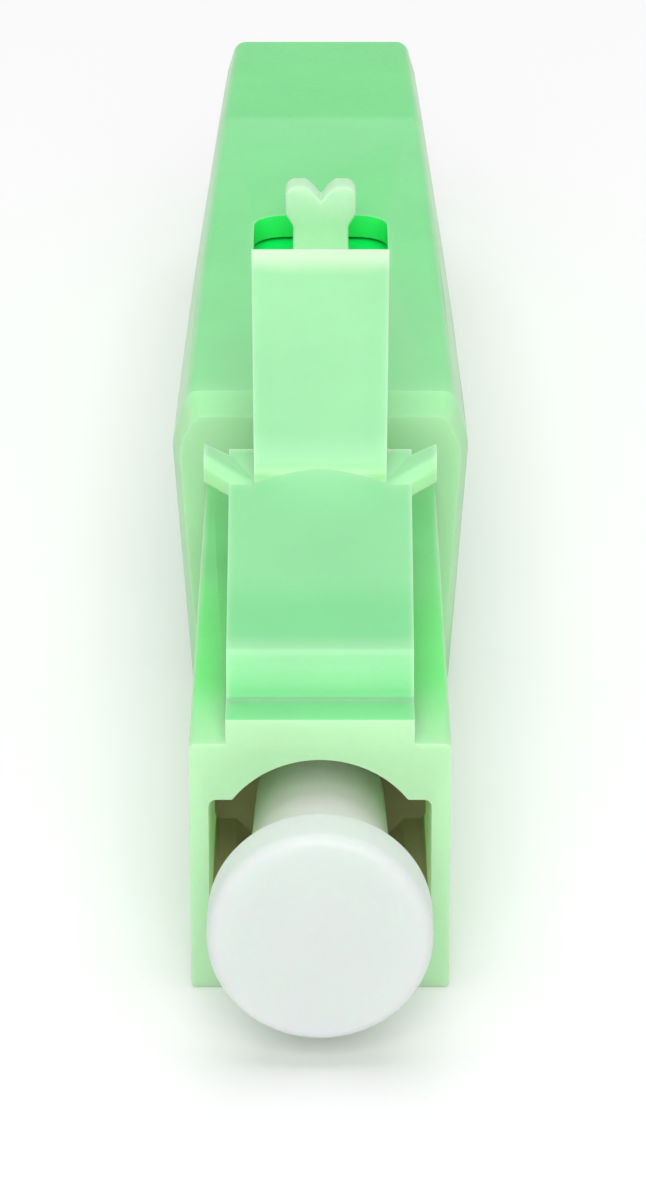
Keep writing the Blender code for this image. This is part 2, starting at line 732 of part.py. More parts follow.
def build_core(parent, plastic, guide_plastic):
    outer = cradle_inner + CORE_WALL
    body = block("core_body", core_half, core_front, core_block_rear, -core_base, core_top, parent, plastic)
    cradle = block(
        "cradle", outer, neck_rear + FIT, rear_cradle_front + LAP, -core_base, CRADLE_WALL_TOP, parent
    )
    rear_cradle = block(
        "rear_cradle", REAR_CRADLE_HALF, rear_cradle_front, rear_cradle_rear + LAP,
        -REAR_CRADLE_HALF, CRADLE_WALL_TOP, parent,
    )
    tail = turned(
        "tail_tube",
        [(0, rear_cradle_rear), (tail_radius, rear_cradle_rear), (tail_radius, tail_rear), (0, tail_rear)],
        parent,
    )
    ceiling = SPLICE_HALF_WIDTH + FIT
    neck_room = block(
        "neck_room", cradle_inner, core_wall_rear, core_block_rear + LAP, splice_floor, ceiling, parent
    )
    trough = block(
        "cradle_room", cradle_inner, neck_rear, rear_cradle_front,
        splice_floor, CRADLE_WALL_TOP + LAP, parent,
    )
    rear_inner = REAR_CRADLE_HALF - REAR_CRADLE_WALL
    rear_trough = block(
        "rear_room", rear_inner, rear_cradle_front - LAP, rear_cradle_rear,
        -rear_inner, CRADLE_WALL_TOP + LAP, parent,
    )
    tail_room = turned(
        "tail_room",
        [(0, rear_cradle_rear - LAP), (tail_bore, rear_cradle_rear - LAP), (tail_bore, tail_rear + LAP),
         (0, tail_rear + LAP)],
        parent,
    )
    tube_hole = turned(
        "tube_hole",
        [(0, core_front - LAP), (FLANGE_TUBE_RADIUS + FIT, core_front - LAP),
         (FLANGE_TUBE_RADIUS + FIT, core_wall_rear + LAP), (0, core_wall_rear + LAP)],
        parent,
    )
    barb_rear = PLUG_LENGTH - SNAP_WINDOW_FROM_REAR - FIT
    barb_front = barb_rear - SNAP_WINDOW_LENGTH + 2 * FIT
    barbs = up_z(
        "snap_barbs",
        [(-core_half, barb_front), (core_half, barb_front), (PLUG_WIDTH / 2 - FIT, barb_rear),
         (FIT - PLUG_WIDTH / 2, barb_rear)],
        FIT - SNAP_WINDOW_HEIGHT / 2, SNAP_WINDOW_HEIGHT / 2 - FIT, parent,
    )
    join(body, cradle, rear_cradle, tail, barbs)
    cut(body, neck_room, trough, rear_trough, tail_room, tube_hole)

    block(
        "core_cover", REAR_CRADLE_HALF, rear_cradle_front + COVER_INSET, rear_cradle_rear - FIT,
        CRADLE_WALL_TOP + FIT, CRADLE_WALL_TOP + FIT + COVER_THICKNESS, parent, plastic,
    )
    guide_front, guide_rear = rear_cradle_front, rear_cradle_front + GUIDE_LENGTH
    radius = min(GUIDE_RADIUS, rear_inner - FIT, CRADLE_WALL_TOP)
    smooth(turned(
        "fibre_guide",
        [(GUIDE_BORE, guide_front), (GUIDE_NOSE_RADIUS, guide_front),
         (radius, guide_front + GUIDE_NOSE_LENGTH), (radius, guide_rear), (radius - GUIDE_BORE, guide_rear),
         (GUIDE_BORE, guide_front + 0.4 * GUIDE_LENGTH)],
        parent, guide_plastic,
    ))


def shell_share(y):
    """How much narrower the shell is at y than at its front, in plan."""
    along = (y - shell_front) / SHELL_LENGTH
    return 1 - (1 - SHELL_REAR_SHARE) * along**1.35


def shell_roof(y):
    """The roof runs level as far as its crease and falls a little behind it."""
    past_crease = y - (shell_rear - SHELL_CREASE_FROM_REAR)
    return SHELL_TOP - SHELL_TOP_DROP * max(past_crease, 0) / SHELL_CREASE_FROM_REAR


def shell_section(y, side_in=0.0, roof_in=0.0, base_in=0.0, base_corner=SHELL_BASE_CORNER, steps=2):
    """The shell's outline across Y, drawn in by a wall or a corner where one is given."""
    share, roof = shell_share(y), shell_roof(y) - roof_in
    base, shoulder, top = (
        share * (PLUG_WIDTH / 2 + past) - side_in
        for past in (SHELL_PAST_PLUG_BASE, SHELL_PAST_PLUG_SHOULDER, SHELL_PAST_PLUG_TOP)
    )
    floor = base_in - UNDERSIDE
    corners = [
        (-base, floor, base_corner), (base, floor, base_corner),
        (shoulder, shoulder_height, SHELL_SHOULDER_CORNER), (top, roof, SHELL_ROOF_CORNER),
        (-top, roof, SHELL_ROOF_CORNER), (-shoulder, shoulder_height, SHELL_SHOULDER_CORNER),
    ]
    return [(x, y, z) for x, z in rounded(corners, steps)]


def build_shell(parent, finish):
    chamfer, corner = SHELL_FRONT_CHAMFER, SHELL_REAR_CORNER
    sections = [shell_section(shell_front, SHELL_FRONT_SIDE_EASE, chamfer, SHELL_FRONT_BASE_EASE)]
    first, last = shell_front + chamfer, shell_rear - corner
    spans = 6
    sections += [shell_section(first + (last - first) * i / spans) for i in range(spans + 1)]
    for angle in (math.pi / 6, math.pi / 3, math.pi / 2):
        inset = corner * (1 - math.cos(angle))
        sections.append(shell_section(last + corner * math.sin(angle), inset, inset, inset))
    shell = lofted("rear_shell", sections, parent, finish)

    front, rear = shell_front + SHELL_FRONT_WALL, shell_rear - SHELL_REAR_WALL
    spans = 3
    walls = (SHELL_SIDE_WALL, SHELL_WALL, shell_base_wall)
    cavity = lofted(
        "shell_room",
        [shell_section(front + (rear - front) * i / spans, *walls, SHELL_ROOM_CORNER, 1) for i in range(spans + 1)],
        parent,
    )
    mouth = block(
        "shell_mouth", neck_half + FIT, shell_front - LAP, front + LAP, -neck_base - FIT, neck_top + FIT, parent
    )
    tail_hole = turned(
        "tail_hole",
        [(0, rear_cradle_rear - FIT), (tail_radius + FIT, rear_cradle_rear - FIT),
         (tail_radius + FIT, shell_rear + LAP), (0, shell_rear + LAP)],
        parent,
    )
    r = SLOT_CORNER
    slot = up_z(
        "button_slot",
        rounded([(-SLOT_HALF, slot_front, r), (SLOT_HALF, slot_front, r), (SLOT_HALF, slot_rear, r),
                 (-SLOT_HALF, slot_rear, r)], 3),
        plate_top, SHELL_TOP + LAP, parent,
    )
    cut(shell, cavity, mouth, tail_hole, slot)


def nut_inner_cone():
    """Where the nut's inside narrows onto the jaws' heads: (radius, y) at the start and at the end."""
    return (nut_bore, tail_rear + FIT), (jaw_radius, nut_rear - GROMMET_LENGTH - NUT_CONE_LAND)


def build_clamp(parents, plastic, jaw_plastic, rubber):
    (wide, cone_front), (narrow, cone_rear) = nut_inner_cone()
    jaw_front = cone_rear - JAW_LENGTH
    tooth_pitch = (JAW_LENGTH - 1) / JAW_TEETH
    teeth = []
    for i in range(JAW_TEETH):
        start = cone_rear - 0.3 - i * tooth_pitch
        teeth += [(CABLE_RADIUS, start), (CABLE_RADIUS + JAW_TOOTH, start - tooth_pitch)]
    profile = [
        (jaw_radius, jaw_front), (jaw_radius, cone_front), (wide - 2 * FIT, cone_front + 2 * FIT),
        (narrow - FIT, cone_rear - FIT), (CABLE_RADIUS, cone_rear - FIT),
    ] + teeth + [(CABLE_RADIUS + JAW_TOOTH, jaw_front)]
    reach = nut_radius + 1
    for name, side in (("cable_jaw_left", -1), ("cable_jaw_right", 1)):
        jaw = turned(name, profile, parents[name], jaw_plastic)
        near, far = -side * reach, side * JAW_SPLIT / 2
        half = along_y(
            name + "_split", [(near, -reach), (far, -reach), (far, reach), (near, reach)],
            jaw_front - LAP, cone_rear + LAP, parents[name],
        )
        cut(jaw, half)
        set_origin(jaw, side * jaw_radius, jaw_front, 0)

    ribs = []
    for i in range(NUT_RIBS):
        for offset, height in ((0.0, 0.0), (0.35, 0.0), (0.5, NUT_RIB_HEIGHT), (0.85, NUT_RIB_HEIGHT)):
            angle = 2 * math.pi * (i + offset) / NUT_RIBS
            radius = nut_radius + height - NUT_RIB_HEIGHT
            ribs.append((radius * math.cos(angle), radius * math.sin(angle)))
    narrowed = [(0.94 * x, 0.94 * z) for x, z in ribs]
    stations = (
        (nut_front, narrowed), (nut_front + NUT_END_TAPER, ribs),
        (nut_rear - NUT_END_TAPER, ribs), (nut_rear, narrowed),
    )
    nut = lofted(
        "tail_nut", [[(x, y, z) for x, z in outline] for y, outline in stations], parents["tail_nut"], plastic
    )
    recess = nut_rear - GROMMET_LENGTH
    inside = turned(
        "nut_room",
        [(0, nut_front - LAP), (nut_bore, nut_front - LAP), (nut_bore, cone_front), (narrow, cone_rear),
         (CABLE_RADIUS, cone_rear + FIT), (CABLE_RADIUS, recess), (jaw_radius + 0.2, recess),
         (jaw_radius + 0.2, nut_rear + LAP), (0, nut_rear + LAP)],
        parents["tail_nut"],
    )
    cut(nut, inside)
    smooth(turned(
        "cable_grommet",
        [(CABLE_RADIUS - 0.05, recess + FIT), (jaw_radius + 0.15, recess + FIT),
         (jaw_radius + 0.15, nut_rear - FIT), (CABLE_RADIUS + 0.05, nut_rear - FIT),
         (CABLE_RADIUS - 0.15, recess + GROMMET_LENGTH / 2)],
        parents["tail_nut"], rubber,
    ))


def build_cap(parent, finish):
    """The dust cap: a disc to pull it by, and a tapered sleeve with a blind bore over the ferrule."""
    front, rear = -CAP_FRONT, CAP_DISC_THICKNESS - CAP_FRONT
    bore = FERRULE_RADIUS + CAP_BORE_GAP
    bore_end = -FERRULE_REACH - CAP_BORE_PAST_FERRULE
    quarter = [math.pi / 2 * i / 4 for i in range(5)]
    edge, radius = CAP_EDGE, CAP_DISC_RADIUS
    front_edge = [(radius - edge + edge * math.sin(a), front + edge - edge * math.cos(a)) for a in quarter]
    rear_edge = [(radius - edge + edge * math.cos(a), rear - edge + edge * math.sin(a)) for a in quarter]
    profile = [(0, front)] + front_edge + rear_edge + [
        (CAP_TUBE_FRONT_RADIUS + CAP_TUBE_FOOT, rear), (CAP_TUBE_FRONT_RADIUS, rear + CAP_TUBE_FOOT),
        (CAP_TUBE_END_RADIUS, CAP_TUBE_INSIDE), (bore, CAP_TUBE_INSIDE), (bore, bore_end), (0, bore_end),
    ]
    smooth(turned("dust_cap", profile, parent, finish, 48))


def joint_empty(name, parent, y, z):
    empty = bpy.data.objects.new(name, None)
    bpy.context.scene.collection.objects.link(empty)
    empty.parent = parent
    empty.location = (0, MM * y, MM * z)
    empty.empty_display_size = MM
    return empty


def build():
    clear_scene()
    green = material("green_plastic", (0.33, 0.78, 0.40), 0.35)
    pale = material("pale_plastic", (0.80, 0.84, 0.80), 0.45)
    clear = material("clear_plastic", (0.78, 0.88, 0.84), 0.3)
    cap_plastic = material("cap_plastic", (0.83, 0.91, 0.88), 0.3)
    zirconia = material("zirconia", (0.92, 0.91, 0.88), 0.2)
    glass = material("glass_fibre", (0.8, 0.85, 0.9), 0.05)
    steel = material("spring_steel", (0.62, 0.62, 0.6), 0.3, 1.0)
    brass = material("nickel_brass", (0.72, 0.70, 0.64), 0.25, 1.0)
    rubber = material("black_rubber", (0.03, 0.03, 0.03), 0.8)

    assembly = joint_empty("assembly", None, (CAP_FRONT - nut_rear) / 2, UNDERSIDE)
    float_axis = joint_empty("ferrule_float_axis", assembly, 0, 0)
    slider_axis = joint_empty("lock_slider_axis", float_axis, 0, 0)
    nut_axis = joint_empty("tail_nut_axis", assembly, 0, 0)

    build_plug_frame(assembly, green)
    build_latch(assembly, green)
    build_shell(assembly, green)
    build_core(assembly, pale, clear)
    ferrule_rear = build_ferrule(float_axis, zirconia, glass)
    build_flange(float_axis, brass, pale, ferrule_rear)
    build_spring(assembly, steel)
    build_splice(float_axis, pale, clear, steel)
    build_slider(slider_axis, green)
    build_clamp(
        {"cable_jaw_left": assembly, "cable_jaw_right": assembly, "tail_nut": nut_axis}, green, pale, rubber
    )
    build_cap(assembly, cap_plastic)


build()
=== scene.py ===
import math

import bmesh
import bpy
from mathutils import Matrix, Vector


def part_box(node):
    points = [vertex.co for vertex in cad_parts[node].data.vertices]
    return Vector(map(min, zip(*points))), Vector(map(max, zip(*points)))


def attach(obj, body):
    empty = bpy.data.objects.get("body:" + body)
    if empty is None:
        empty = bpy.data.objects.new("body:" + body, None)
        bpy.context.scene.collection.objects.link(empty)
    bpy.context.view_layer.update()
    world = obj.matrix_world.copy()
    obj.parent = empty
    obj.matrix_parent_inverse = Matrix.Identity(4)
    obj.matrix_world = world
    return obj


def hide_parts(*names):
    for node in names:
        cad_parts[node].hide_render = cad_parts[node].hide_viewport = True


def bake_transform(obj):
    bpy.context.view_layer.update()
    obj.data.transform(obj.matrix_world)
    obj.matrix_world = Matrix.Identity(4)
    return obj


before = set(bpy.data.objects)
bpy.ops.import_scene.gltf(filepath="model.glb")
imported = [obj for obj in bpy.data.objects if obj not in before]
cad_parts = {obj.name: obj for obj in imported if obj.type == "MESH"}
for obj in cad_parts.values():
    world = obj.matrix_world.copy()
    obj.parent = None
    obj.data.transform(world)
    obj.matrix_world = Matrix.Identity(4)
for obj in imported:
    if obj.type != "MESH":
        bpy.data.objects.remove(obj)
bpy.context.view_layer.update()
MM = 0.001
scene = bpy.context.scene
front_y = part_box("plug_frame")[0].y
axis_z = (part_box("dust_cap")[0].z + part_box("dust_cap")[1].z) / 2

# ---------------------------------------------------------------------------------------------
# Camera. It looks along the connector from the cap's end, a little above it, close in as a
# macro lens does.
camera_data = bpy.data.cameras.new("macro_camera")
camera_data.sensor_width = 36.0
camera_data.lens = 138.7
camera_data.clip_start = 0.005
camera_data.clip_end = 20.0
camera = bpy.data.objects.new("macro_camera", camera_data)
camera.location = (0.05 * MM, front_y - 72.2 * MM, axis_z + 34.4 * MM)
camera.rotation_euler = (math.radians(90 - 22.25), 0, 0)
scene.collection.objects.link(camera)
scene.camera = camera

# ---------------------------------------------------------------------------------------------
# Light table. A pale sheet under the connector, an even white surround, a broad softbox above
# and a stronger one further off in front, so that colours come out about as they are written.
scene.view_settings.view_transform = "Standard"
surround = bpy.data.worlds.new("white_surround")
scene.world = surround
surround.use_nodes = True
sky = surround.node_tree
sky.nodes.clear()
sky_out = sky.nodes.new("ShaderNodeOutputWorld")
sky_light = sky.nodes.new("ShaderNodeBackground")
sky_seen = sky.nodes.new("ShaderNodeBackground")
sky_pick = sky.nodes.new("ShaderNodeMixShader")
sky_path = sky.nodes.new("ShaderNodeLightPath")
sky_any = sky.nodes.new("ShaderNodeMath")
sky_all = sky.nodes.new("ShaderNodeMath")
sky_any.operation = sky_all.operation = "MAXIMUM"
sky_light.inputs["Color"].default_value = (1.0, 1.0, 1.0, 1.0)
sky_light.inputs["Strength"].default_value = 0.42
sky_seen.inputs["Color"].default_value = (1.0, 1.0, 1.0, 1.0)
sky_seen.inputs["Strength"].default_value = 1.0
sky.links.new(sky_path.outputs["Is Camera Ray"], sky_any.inputs[0])
sky.links.new(sky_path.outputs["Is Glossy Ray"], sky_any.inputs[1])
sky.links.new(sky_any.outputs[0], sky_all.inputs[0])
sky.links.new(sky_path.outputs["Is Transmission Ray"], sky_all.inputs[1])
sky.links.new(sky_all.outputs[0], sky_pick.inputs[0])
sky.links.new(sky_light.outputs[0], sky_pick.inputs[1])
sky.links.new(sky_seen.outputs[0], sky_pick.inputs[2])
sky.links.new(sky_pick.outputs[0], sky_out.inputs["Surface"])

for name, place, tilt, size, power in (
    ("overhead_softbox", (0, 0.02, 0.30), (0, 0, 0), 0.30, 0.45),
    ("front_softbox", (0, -0.34, 0.20), (60, 0, 0), 0.26, 0.95),
):
    lamp = bpy.data.lights.new(name, "AREA")
    lamp.size = size
    lamp.energy = power
    lamp_object = bpy.data.objects.new(name, lamp)
    lamp_object.location = place
    lamp_object.rotation_euler = [math.radians(a) for a in tilt]
    scene.collection.objects.link(lamp_object)

sheet_half = 1.5
sheet_mesh = bpy.data.meshes.new("light_table")
sheet_mesh.from_pydata(
    [(-sheet_half, -sheet_half, 0), (sheet_half, -sheet_half, 0), (sheet_half, sheet_half, 0),
     (-sheet_half, sheet_half, 0)],
    [], [(0, 1, 2, 3)],
)
light_table = bpy.data.objects.new("light_table", sheet_mesh)
scene.collection.objects.link(light_table)
sheet_finish = bpy.data.materials.new("white_acrylic_sheet")
sheet_finish.use_nodes = True
sheet_shader = sheet_finish.node_tree.nodes["Principled BSDF"]
sheet_shader.inputs["Base Color"].default_value = (0.93, 0.93, 0.93, 1.0)
sheet_shader.inputs["Roughness"].default_value = 0.3
sheet_shader.inputs["Specular IOR Level"].default_value = 0.2
sheet_mesh.materials.append(sheet_finish)


# ---------------------------------------------------------------------------------------------
# Plug frame. One moulding in green polycarbonate: a square tube with a round mouth, a slot on
# each side of it for the adapter's sleeve holder, a stop wall for the ferrule's flange, snap
# windows near its rear and the latch's root on its front top edge.
def along(mm):
    """A place along the connector, in millimetres behind the plug's front face, in metres."""
    return front_y + mm * MM


def up(mm):
    """A height above the fibre's axis, in millimetres, in metres."""
    return axis_z + mm * MM


def new_piece(name, shape):
    bmesh.ops.recalc_face_normals(shape, faces=shape.faces)
    mesh = bpy.data.meshes.new(name)
    shape.to_mesh(mesh)
    shape.free()
    made = bpy.data.objects.new(name, mesh)
    scene.collection.objects.link(made)
    return made


def lofted(name, loops):
    """A closed solid through loops of (x, along, up) points in millimetres that match one to one."""
    shape = bmesh.new()
    rings = [[shape.verts.new((x * MM, along(y), up(z))) for x, y, z in loop] for loop in loops]
    for ring, after in zip(rings, rings[1:]):
        for i, point in enumerate(ring):
            j = (i + 1) % len(ring)
            shape.faces.new((point, ring[j], after[j], after[i]))
    shape.faces.new(rings[0])
    shape.faces.new(rings[-1][::-1])
    return new_piece(name, shape)


def drawn_along(name, outline, start, end):
    return lofted(name, [[(x, y, z) for x, z in outline] for y in (start, end)])


def drawn_across(name, outline, half_width):
    return lofted(name, [[(side * half_width(y), y, z) for y, z in outline] for side in (-1, 1)])


def drawn_up(name, outline, low, high):
    return lofted(name, [[(x, y, z) for x, y in outline] for z in (low, high)])


def slab(name, half, start, end, low, high):
    return drawn_along(name, [(-half, low), (half, low), (half, high), (-half, high)], start, end)


def turned(name, profile, sides=96):
    """A closed (radius, along) profile turned about the fibre's axis."""
    shape = bmesh.new()
    rings = []
    for radius, y in profile:
        if radius == 0:
            rings.append([shape.verts.new((0, along(y), axis_z))] * sides)
            continue
        turns = [2 * math.pi * (i + 0.5) / sides for i in range(sides)]
        rings.append(
            [shape.verts.new((radius * MM * math.cos(a), along(y), axis_z + radius * MM * math.sin(a)))
             for a in turns]
        )
    for k, ring in enumerate(rings):
        after = rings[(k + 1) % len(rings)]
        for i in range(sides):
            j = (i + 1) % sides
            corners = list(dict.fromkeys((ring[i], ring[j], after[j], after[i])))
            if len(corners) > 2:
                shape.faces.new(corners)
    return new_piece(name, shape)


def rounded(corners, steps=6):
    """An outline of (a, b, radius) corners, each rounded by an arc tangent to both its sides."""
    outline = []
    for k, (a, b, radius) in enumerate(corners):
        if radius == 0:
            outline.append((a, b))
            continue
        before, after = corners[k - 1], corners[(k + 1) % len(corners)]
        to_before = math.atan2(before[1] - b, before[0] - a)
        to_after = math.atan2(after[1] - b, after[0] - a)
        turn = (to_after - to_before + math.pi) % (2 * math.pi) - math.pi
        middle = to_before + turn / 2
        reach = radius / abs(math.sin(turn / 2))
        centre = (a + reach * math.cos(middle), b + reach * math.sin(middle))
        sweep = math.copysign(math.pi - abs(turn), turn)
        for i in range(steps + 1):
            angle = middle + math.pi + sweep * (0.5 - i / steps)
            outline.append((centre[0] + radius * math.cos(angle), centre[1] + radius * math.sin(angle)))
    return outline


def combine(piece, operation, *others):
    """Cuts or joins other shapes, which are used up."""
    for other in others:
        step = piece.modifiers.new("shape", "BOOLEAN")
        step.operation = operation
        step.solver = "EXACT"
        step.object = other
        settle(piece)
        bpy.data.objects.remove(other)


def settle(piece):
    """Turns the piece's modifiers into plain mesh."""
    graph = bpy.context.evaluated_depsgraph_get()
    mesh = bpy.data.meshes.new_from_object(piece.evaluated_get(graph))
    piece.modifiers.clear()
    piece.data = mesh


def soften(piece, width, segments=3, angle=32):
    """Rounds the moulded edges, then shades the faces as one smooth skin between sharp edges."""
    shape = bmesh.new()
    shape.from_mesh(piece.data)
    bmesh.ops.remove_doubles(shape, verts=shape.verts, dist=0.004 * MM)
    bmesh.ops.dissolve_limit(
        shape, angle_limit=math.radians(0.6), verts=shape.verts, edges=shape.edges, delimit=set()
    )
    shape.to_mesh(piece.data)
    shape.free()
    edge = piece.modifiers.new("edges", "BEVEL")
    edge.width = width * MM
    edge.segments = segments
    edge.limit_method = "ANGLE"
    edge.angle_limit = math.radians(angle)
    edge.use_clamp_overlap = True
    edge.harden_normals = False
    settle(piece)
    piece.data.shade_smooth()
    piece.data.set_sharp_from_angle(angle=math.radians(38))


def placed(piece, body, node, finish):
    """Gives a finished piece its material and its body, and hides the CAD node that it stands for."""
    piece.data.materials.clear()
    piece.data.materials.append(finish)
    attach(piece, body)
    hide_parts(node)


# The moulded skin that every plastic piece shares: a painted highlight on rounded edges, for the light that
# thin edges pass, painted shade on upward faces, a faint mottle from the flow of the melt, and the fine grain
# of the mould.
skin = bpy.data.node_groups.new("moulded_skin", "ShaderNodeTree")
for label, kind, value in (
    ("Wall Colour", "NodeSocketColor", (0.3, 0.75, 0.35, 1)),
    ("Upward Shade Colour", "NodeSocketColor", (0.2, 0.65, 0.3, 1)),
    ("Edge Highlight Colour", "NodeSocketColor", (0.6, 0.9, 0.6, 1)),
    ("Edge Highlight Width", "NodeSocketFloat", 0.0003),
    ("Edge Highlight Gain", "NodeSocketFloat", 4.0),
    ("Mottle", "NodeSocketFloat", 0.05),
    ("Gloss", "NodeSocketFloat", 0.35),
):
    socket = skin.interface.new_socket(label, in_out="INPUT", socket_type=kind)
    socket.default_value = value
for label, kind in (
    ("Colour", "NodeSocketColor"),
    ("Roughness", "NodeSocketFloat"),
    ("Height", "NodeSocketFloat"),
):
    skin.interface.new_socket(label, in_out="OUTPUT", socket_type=kind)
skin_in = skin.nodes.new("NodeGroupInput")
skin_out = skin.nodes.new("NodeGroupOutput")
skin_place = skin.nodes.new("ShaderNodeTexCoord")
skin_face = skin.nodes.new("ShaderNodeNewGeometry")
skin_round = skin.nodes.new("ShaderNodeBevel")
skin_round.samples = 6
skin_match = skin.nodes.new("ShaderNodeVectorMath")
skin_match.operation = "DOT_PRODUCT"
skin_turned = skin.nodes.new("ShaderNodeMath")
skin_turned.operation = "SUBTRACT"
skin_turned.inputs[0].default_value = 1.0
skin_edge_highlight = skin.nodes.new("ShaderNodeMath")
skin_edge_highlight.operation = "MULTIPLY"
skin_edge_highlight.use_clamp = True
skin_flow = skin.nodes.new("ShaderNodeTexNoise")
skin_flow.inputs["Scale"].default_value = 420.0
skin_flow.inputs["Detail"].default_value = 3.0
skin_grain = skin.nodes.new("ShaderNodeTexNoise")
skin_grain.inputs["Scale"].default_value = 9000.0
skin_grain.inputs["Detail"].default_value = 2.0
skin_shade = skin.nodes.new("ShaderNodeMapRange")
skin_shade.inputs["From Min"].default_value = 0.3
skin_shade.inputs["From Max"].default_value = 0.7
skin_low = skin.nodes.new("ShaderNodeMath")
skin_low.operation = "SUBTRACT"
skin_low.inputs[0].default_value = 1.0
skin_dim = skin.nodes.new("ShaderNodeVectorMath")
skin_dim.operation = "SCALE"
skin_up = skin.nodes.new("ShaderNodeSeparateXYZ")
skin_upward_shade_factor = skin.nodes.new("ShaderNodeMapRange")
skin_upward_shade_factor.inputs["From Min"].default_value = 0.35
skin_upward_shade_factor.inputs["From Max"].default_value = 0.9
skin_painted_facing_shade = skin.nodes.new("ShaderNodeMix")
skin_painted_facing_shade.data_type = "RGBA"
skin_mix = skin.nodes.new("ShaderNodeMix")
skin_mix.data_type = "RGBA"
skin_rough = skin.nodes.new("ShaderNodeMath")
skin_rough.operation = "MULTIPLY_ADD"
skin_rough.inputs[1].default_value = 0.12
link = skin.links.new
# Rounded edges, where the bevel's normal turns away from the face's, blend to the edge colour as a painted
# highlight.
link(skin_in.outputs["Edge Highlight Width"], skin_round.inputs["Radius"])
link(skin_round.outputs["Normal"], skin_match.inputs[0])
link(skin_face.outputs["Normal"], skin_match.inputs[1])
link(skin_match.outputs["Value"], skin_turned.inputs[1])
link(skin_turned.outputs[0], skin_edge_highlight.inputs[0])
link(skin_in.outputs["Edge Highlight Gain"], skin_edge_highlight.inputs[1])
link(skin_place.outputs["Object"], skin_flow.inputs["Vector"])
link(skin_place.outputs["Object"], skin_grain.inputs["Vector"])
link(skin_flow.outputs["Fac"], skin_shade.inputs["Value"])
link(skin_in.outputs["Mottle"], skin_low.inputs[1])
link(skin_low.outputs[0], skin_shade.inputs["To Min"])
skin_shade.inputs["To Max"].default_value = 1.0
# Faces that look up take the second colour and the sides the wall colour: painted shade on upward faces,
# darker than the lit sides.
link(skin_place.outputs["Normal"], skin_up.inputs["Vector"])
link(skin_up.outputs["Z"], skin_upward_shade_factor.inputs["Value"])
link(skin_upward_shade_factor.outputs["Result"], skin_painted_facing_shade.inputs["Factor"])
link(skin_in.outputs["Wall Colour"], skin_painted_facing_shade.inputs["A"])
link(skin_in.outputs["Upward Shade Colour"], skin_painted_facing_shade.inputs["B"])
link(skin_painted_facing_shade.outputs["Result"], skin_dim.inputs[0])
link(skin_shade.outputs["Result"], skin_dim.inputs["Scale"])
link(skin_edge_highlight.outputs[0], skin_mix.inputs["Factor"])
link(skin_dim.outputs["Vector"], skin_mix.inputs["A"])
link(skin_in.outputs["Edge Highlight Colour"], skin_mix.inputs["B"])
link(skin_mix.outputs["Result"], skin_out.inputs["Colour"])
link(skin_grain.outputs["Fac"], skin_rough.inputs[0])
link(skin_in.outputs["Gloss"], skin_rough.inputs[2])
link(skin_rough.outputs[0], skin_out.inputs["Roughness"])
link(skin_grain.outputs["Fac"], skin_out.inputs["Height"])


def toned(tree, tones_along, into):
    """Feeds a colour that changes along the connector: (place, colour) pairs, from front to rear."""
    place = tree.nodes.new("ShaderNodeTexCoord")
    split = tree.nodes.new("ShaderNodeSeparateXYZ")
    run = tree.nodes.new("ShaderNodeMapRange")
    tones = tree.nodes.new("ShaderNodeValToRGB")
    first, last = along(tones_along[0][0]), along(tones_along[-1][0])
    run.inputs["From Min"].default_value = first
    run.inputs["From Max"].default_value = last
    for k, (at, tone) in enumerate(tones_along):
        stop = tones.color_ramp.elements[k] if k < 2 else tones.color_ramp.elements.new(1.0)
        stop.position = (along(at) - first) / (last - first)
        stop.color = (*tone, 1)
    tree.links.new(place.outputs["Object"], split.inputs["Vector"])
    tree.links.new(split.outputs["Y"], run.inputs["Value"])
    tree.links.new(run.outputs["Result"], tones.inputs["Fac"])
    tree.links.new(tones.outputs["Color"], into)


def moulded(name, wall, edge, highlight_width, highlight_gain, mottle, gloss, grain, through=0.0, depth=0.6,
            upward_shade=None):
    """A moulded plastic: the skin above, on a body that light enters a little way. wall colours its sides
    and the second colour its upward faces as painted shade, each as one colour or as pairs for toned()."""
    made = bpy.data.materials.new(name)
    made.use_nodes = True
    tree = made.node_tree
    shader = tree.nodes["Principled BSDF"]
    surface = tree.nodes.new("ShaderNodeGroup")
    surface.node_tree = skin
    surface.inputs["Edge Highlight Colour"].default_value = (*edge, 1)
    for label, tone in (("Wall Colour", wall), ("Upward Shade Colour", upward_shade or wall)):
        if isinstance(tone, list):
            toned(tree, tone, surface.inputs[label])
        else:
            surface.inputs[label].default_value = (*tone, 1)
    surface.inputs["Edge Highlight Width"].default_value = highlight_width * MM
    surface.inputs["Edge Highlight Gain"].default_value = highlight_gain
    surface.inputs["Mottle"].default_value = mottle
    surface.inputs["Gloss"].default_value = gloss
    bump = tree.nodes.new("ShaderNodeBump")
    bump.inputs["Strength"].default_value = grain
    bump.inputs["Distance"].default_value = 0.01 * MM
    tree.links.new(surface.outputs["Colour"], shader.inputs["Base Color"])
    tree.links.new(surface.outputs["Roughness"], shader.inputs["Roughness"])
    tree.links.new(surface.outputs["Height"], bump.inputs["Height"])
    tree.links.new(bump.outputs["Normal"], shader.inputs["Normal"])
    shader.inputs["Subsurface Weight"].default_value = through
    shader.inputs["Subsurface Radius"].default_value = (0.35, 1.0, 0.4)
    shader.inputs["Subsurface Scale"].default_value = depth * MM
    return made


# Settings shared by the green mouldings, with a pale painted highlight on their rounded edges.
green_body = dict(edge=(0.66, 0.85, 0.65), highlight_width=0.22, highlight_gain=0.7, mottle=0.07, gloss=0.30,
                  grain=0.35, through=0.45, depth=0.5)
green_wall = (0.39, 0.78, 0.38)
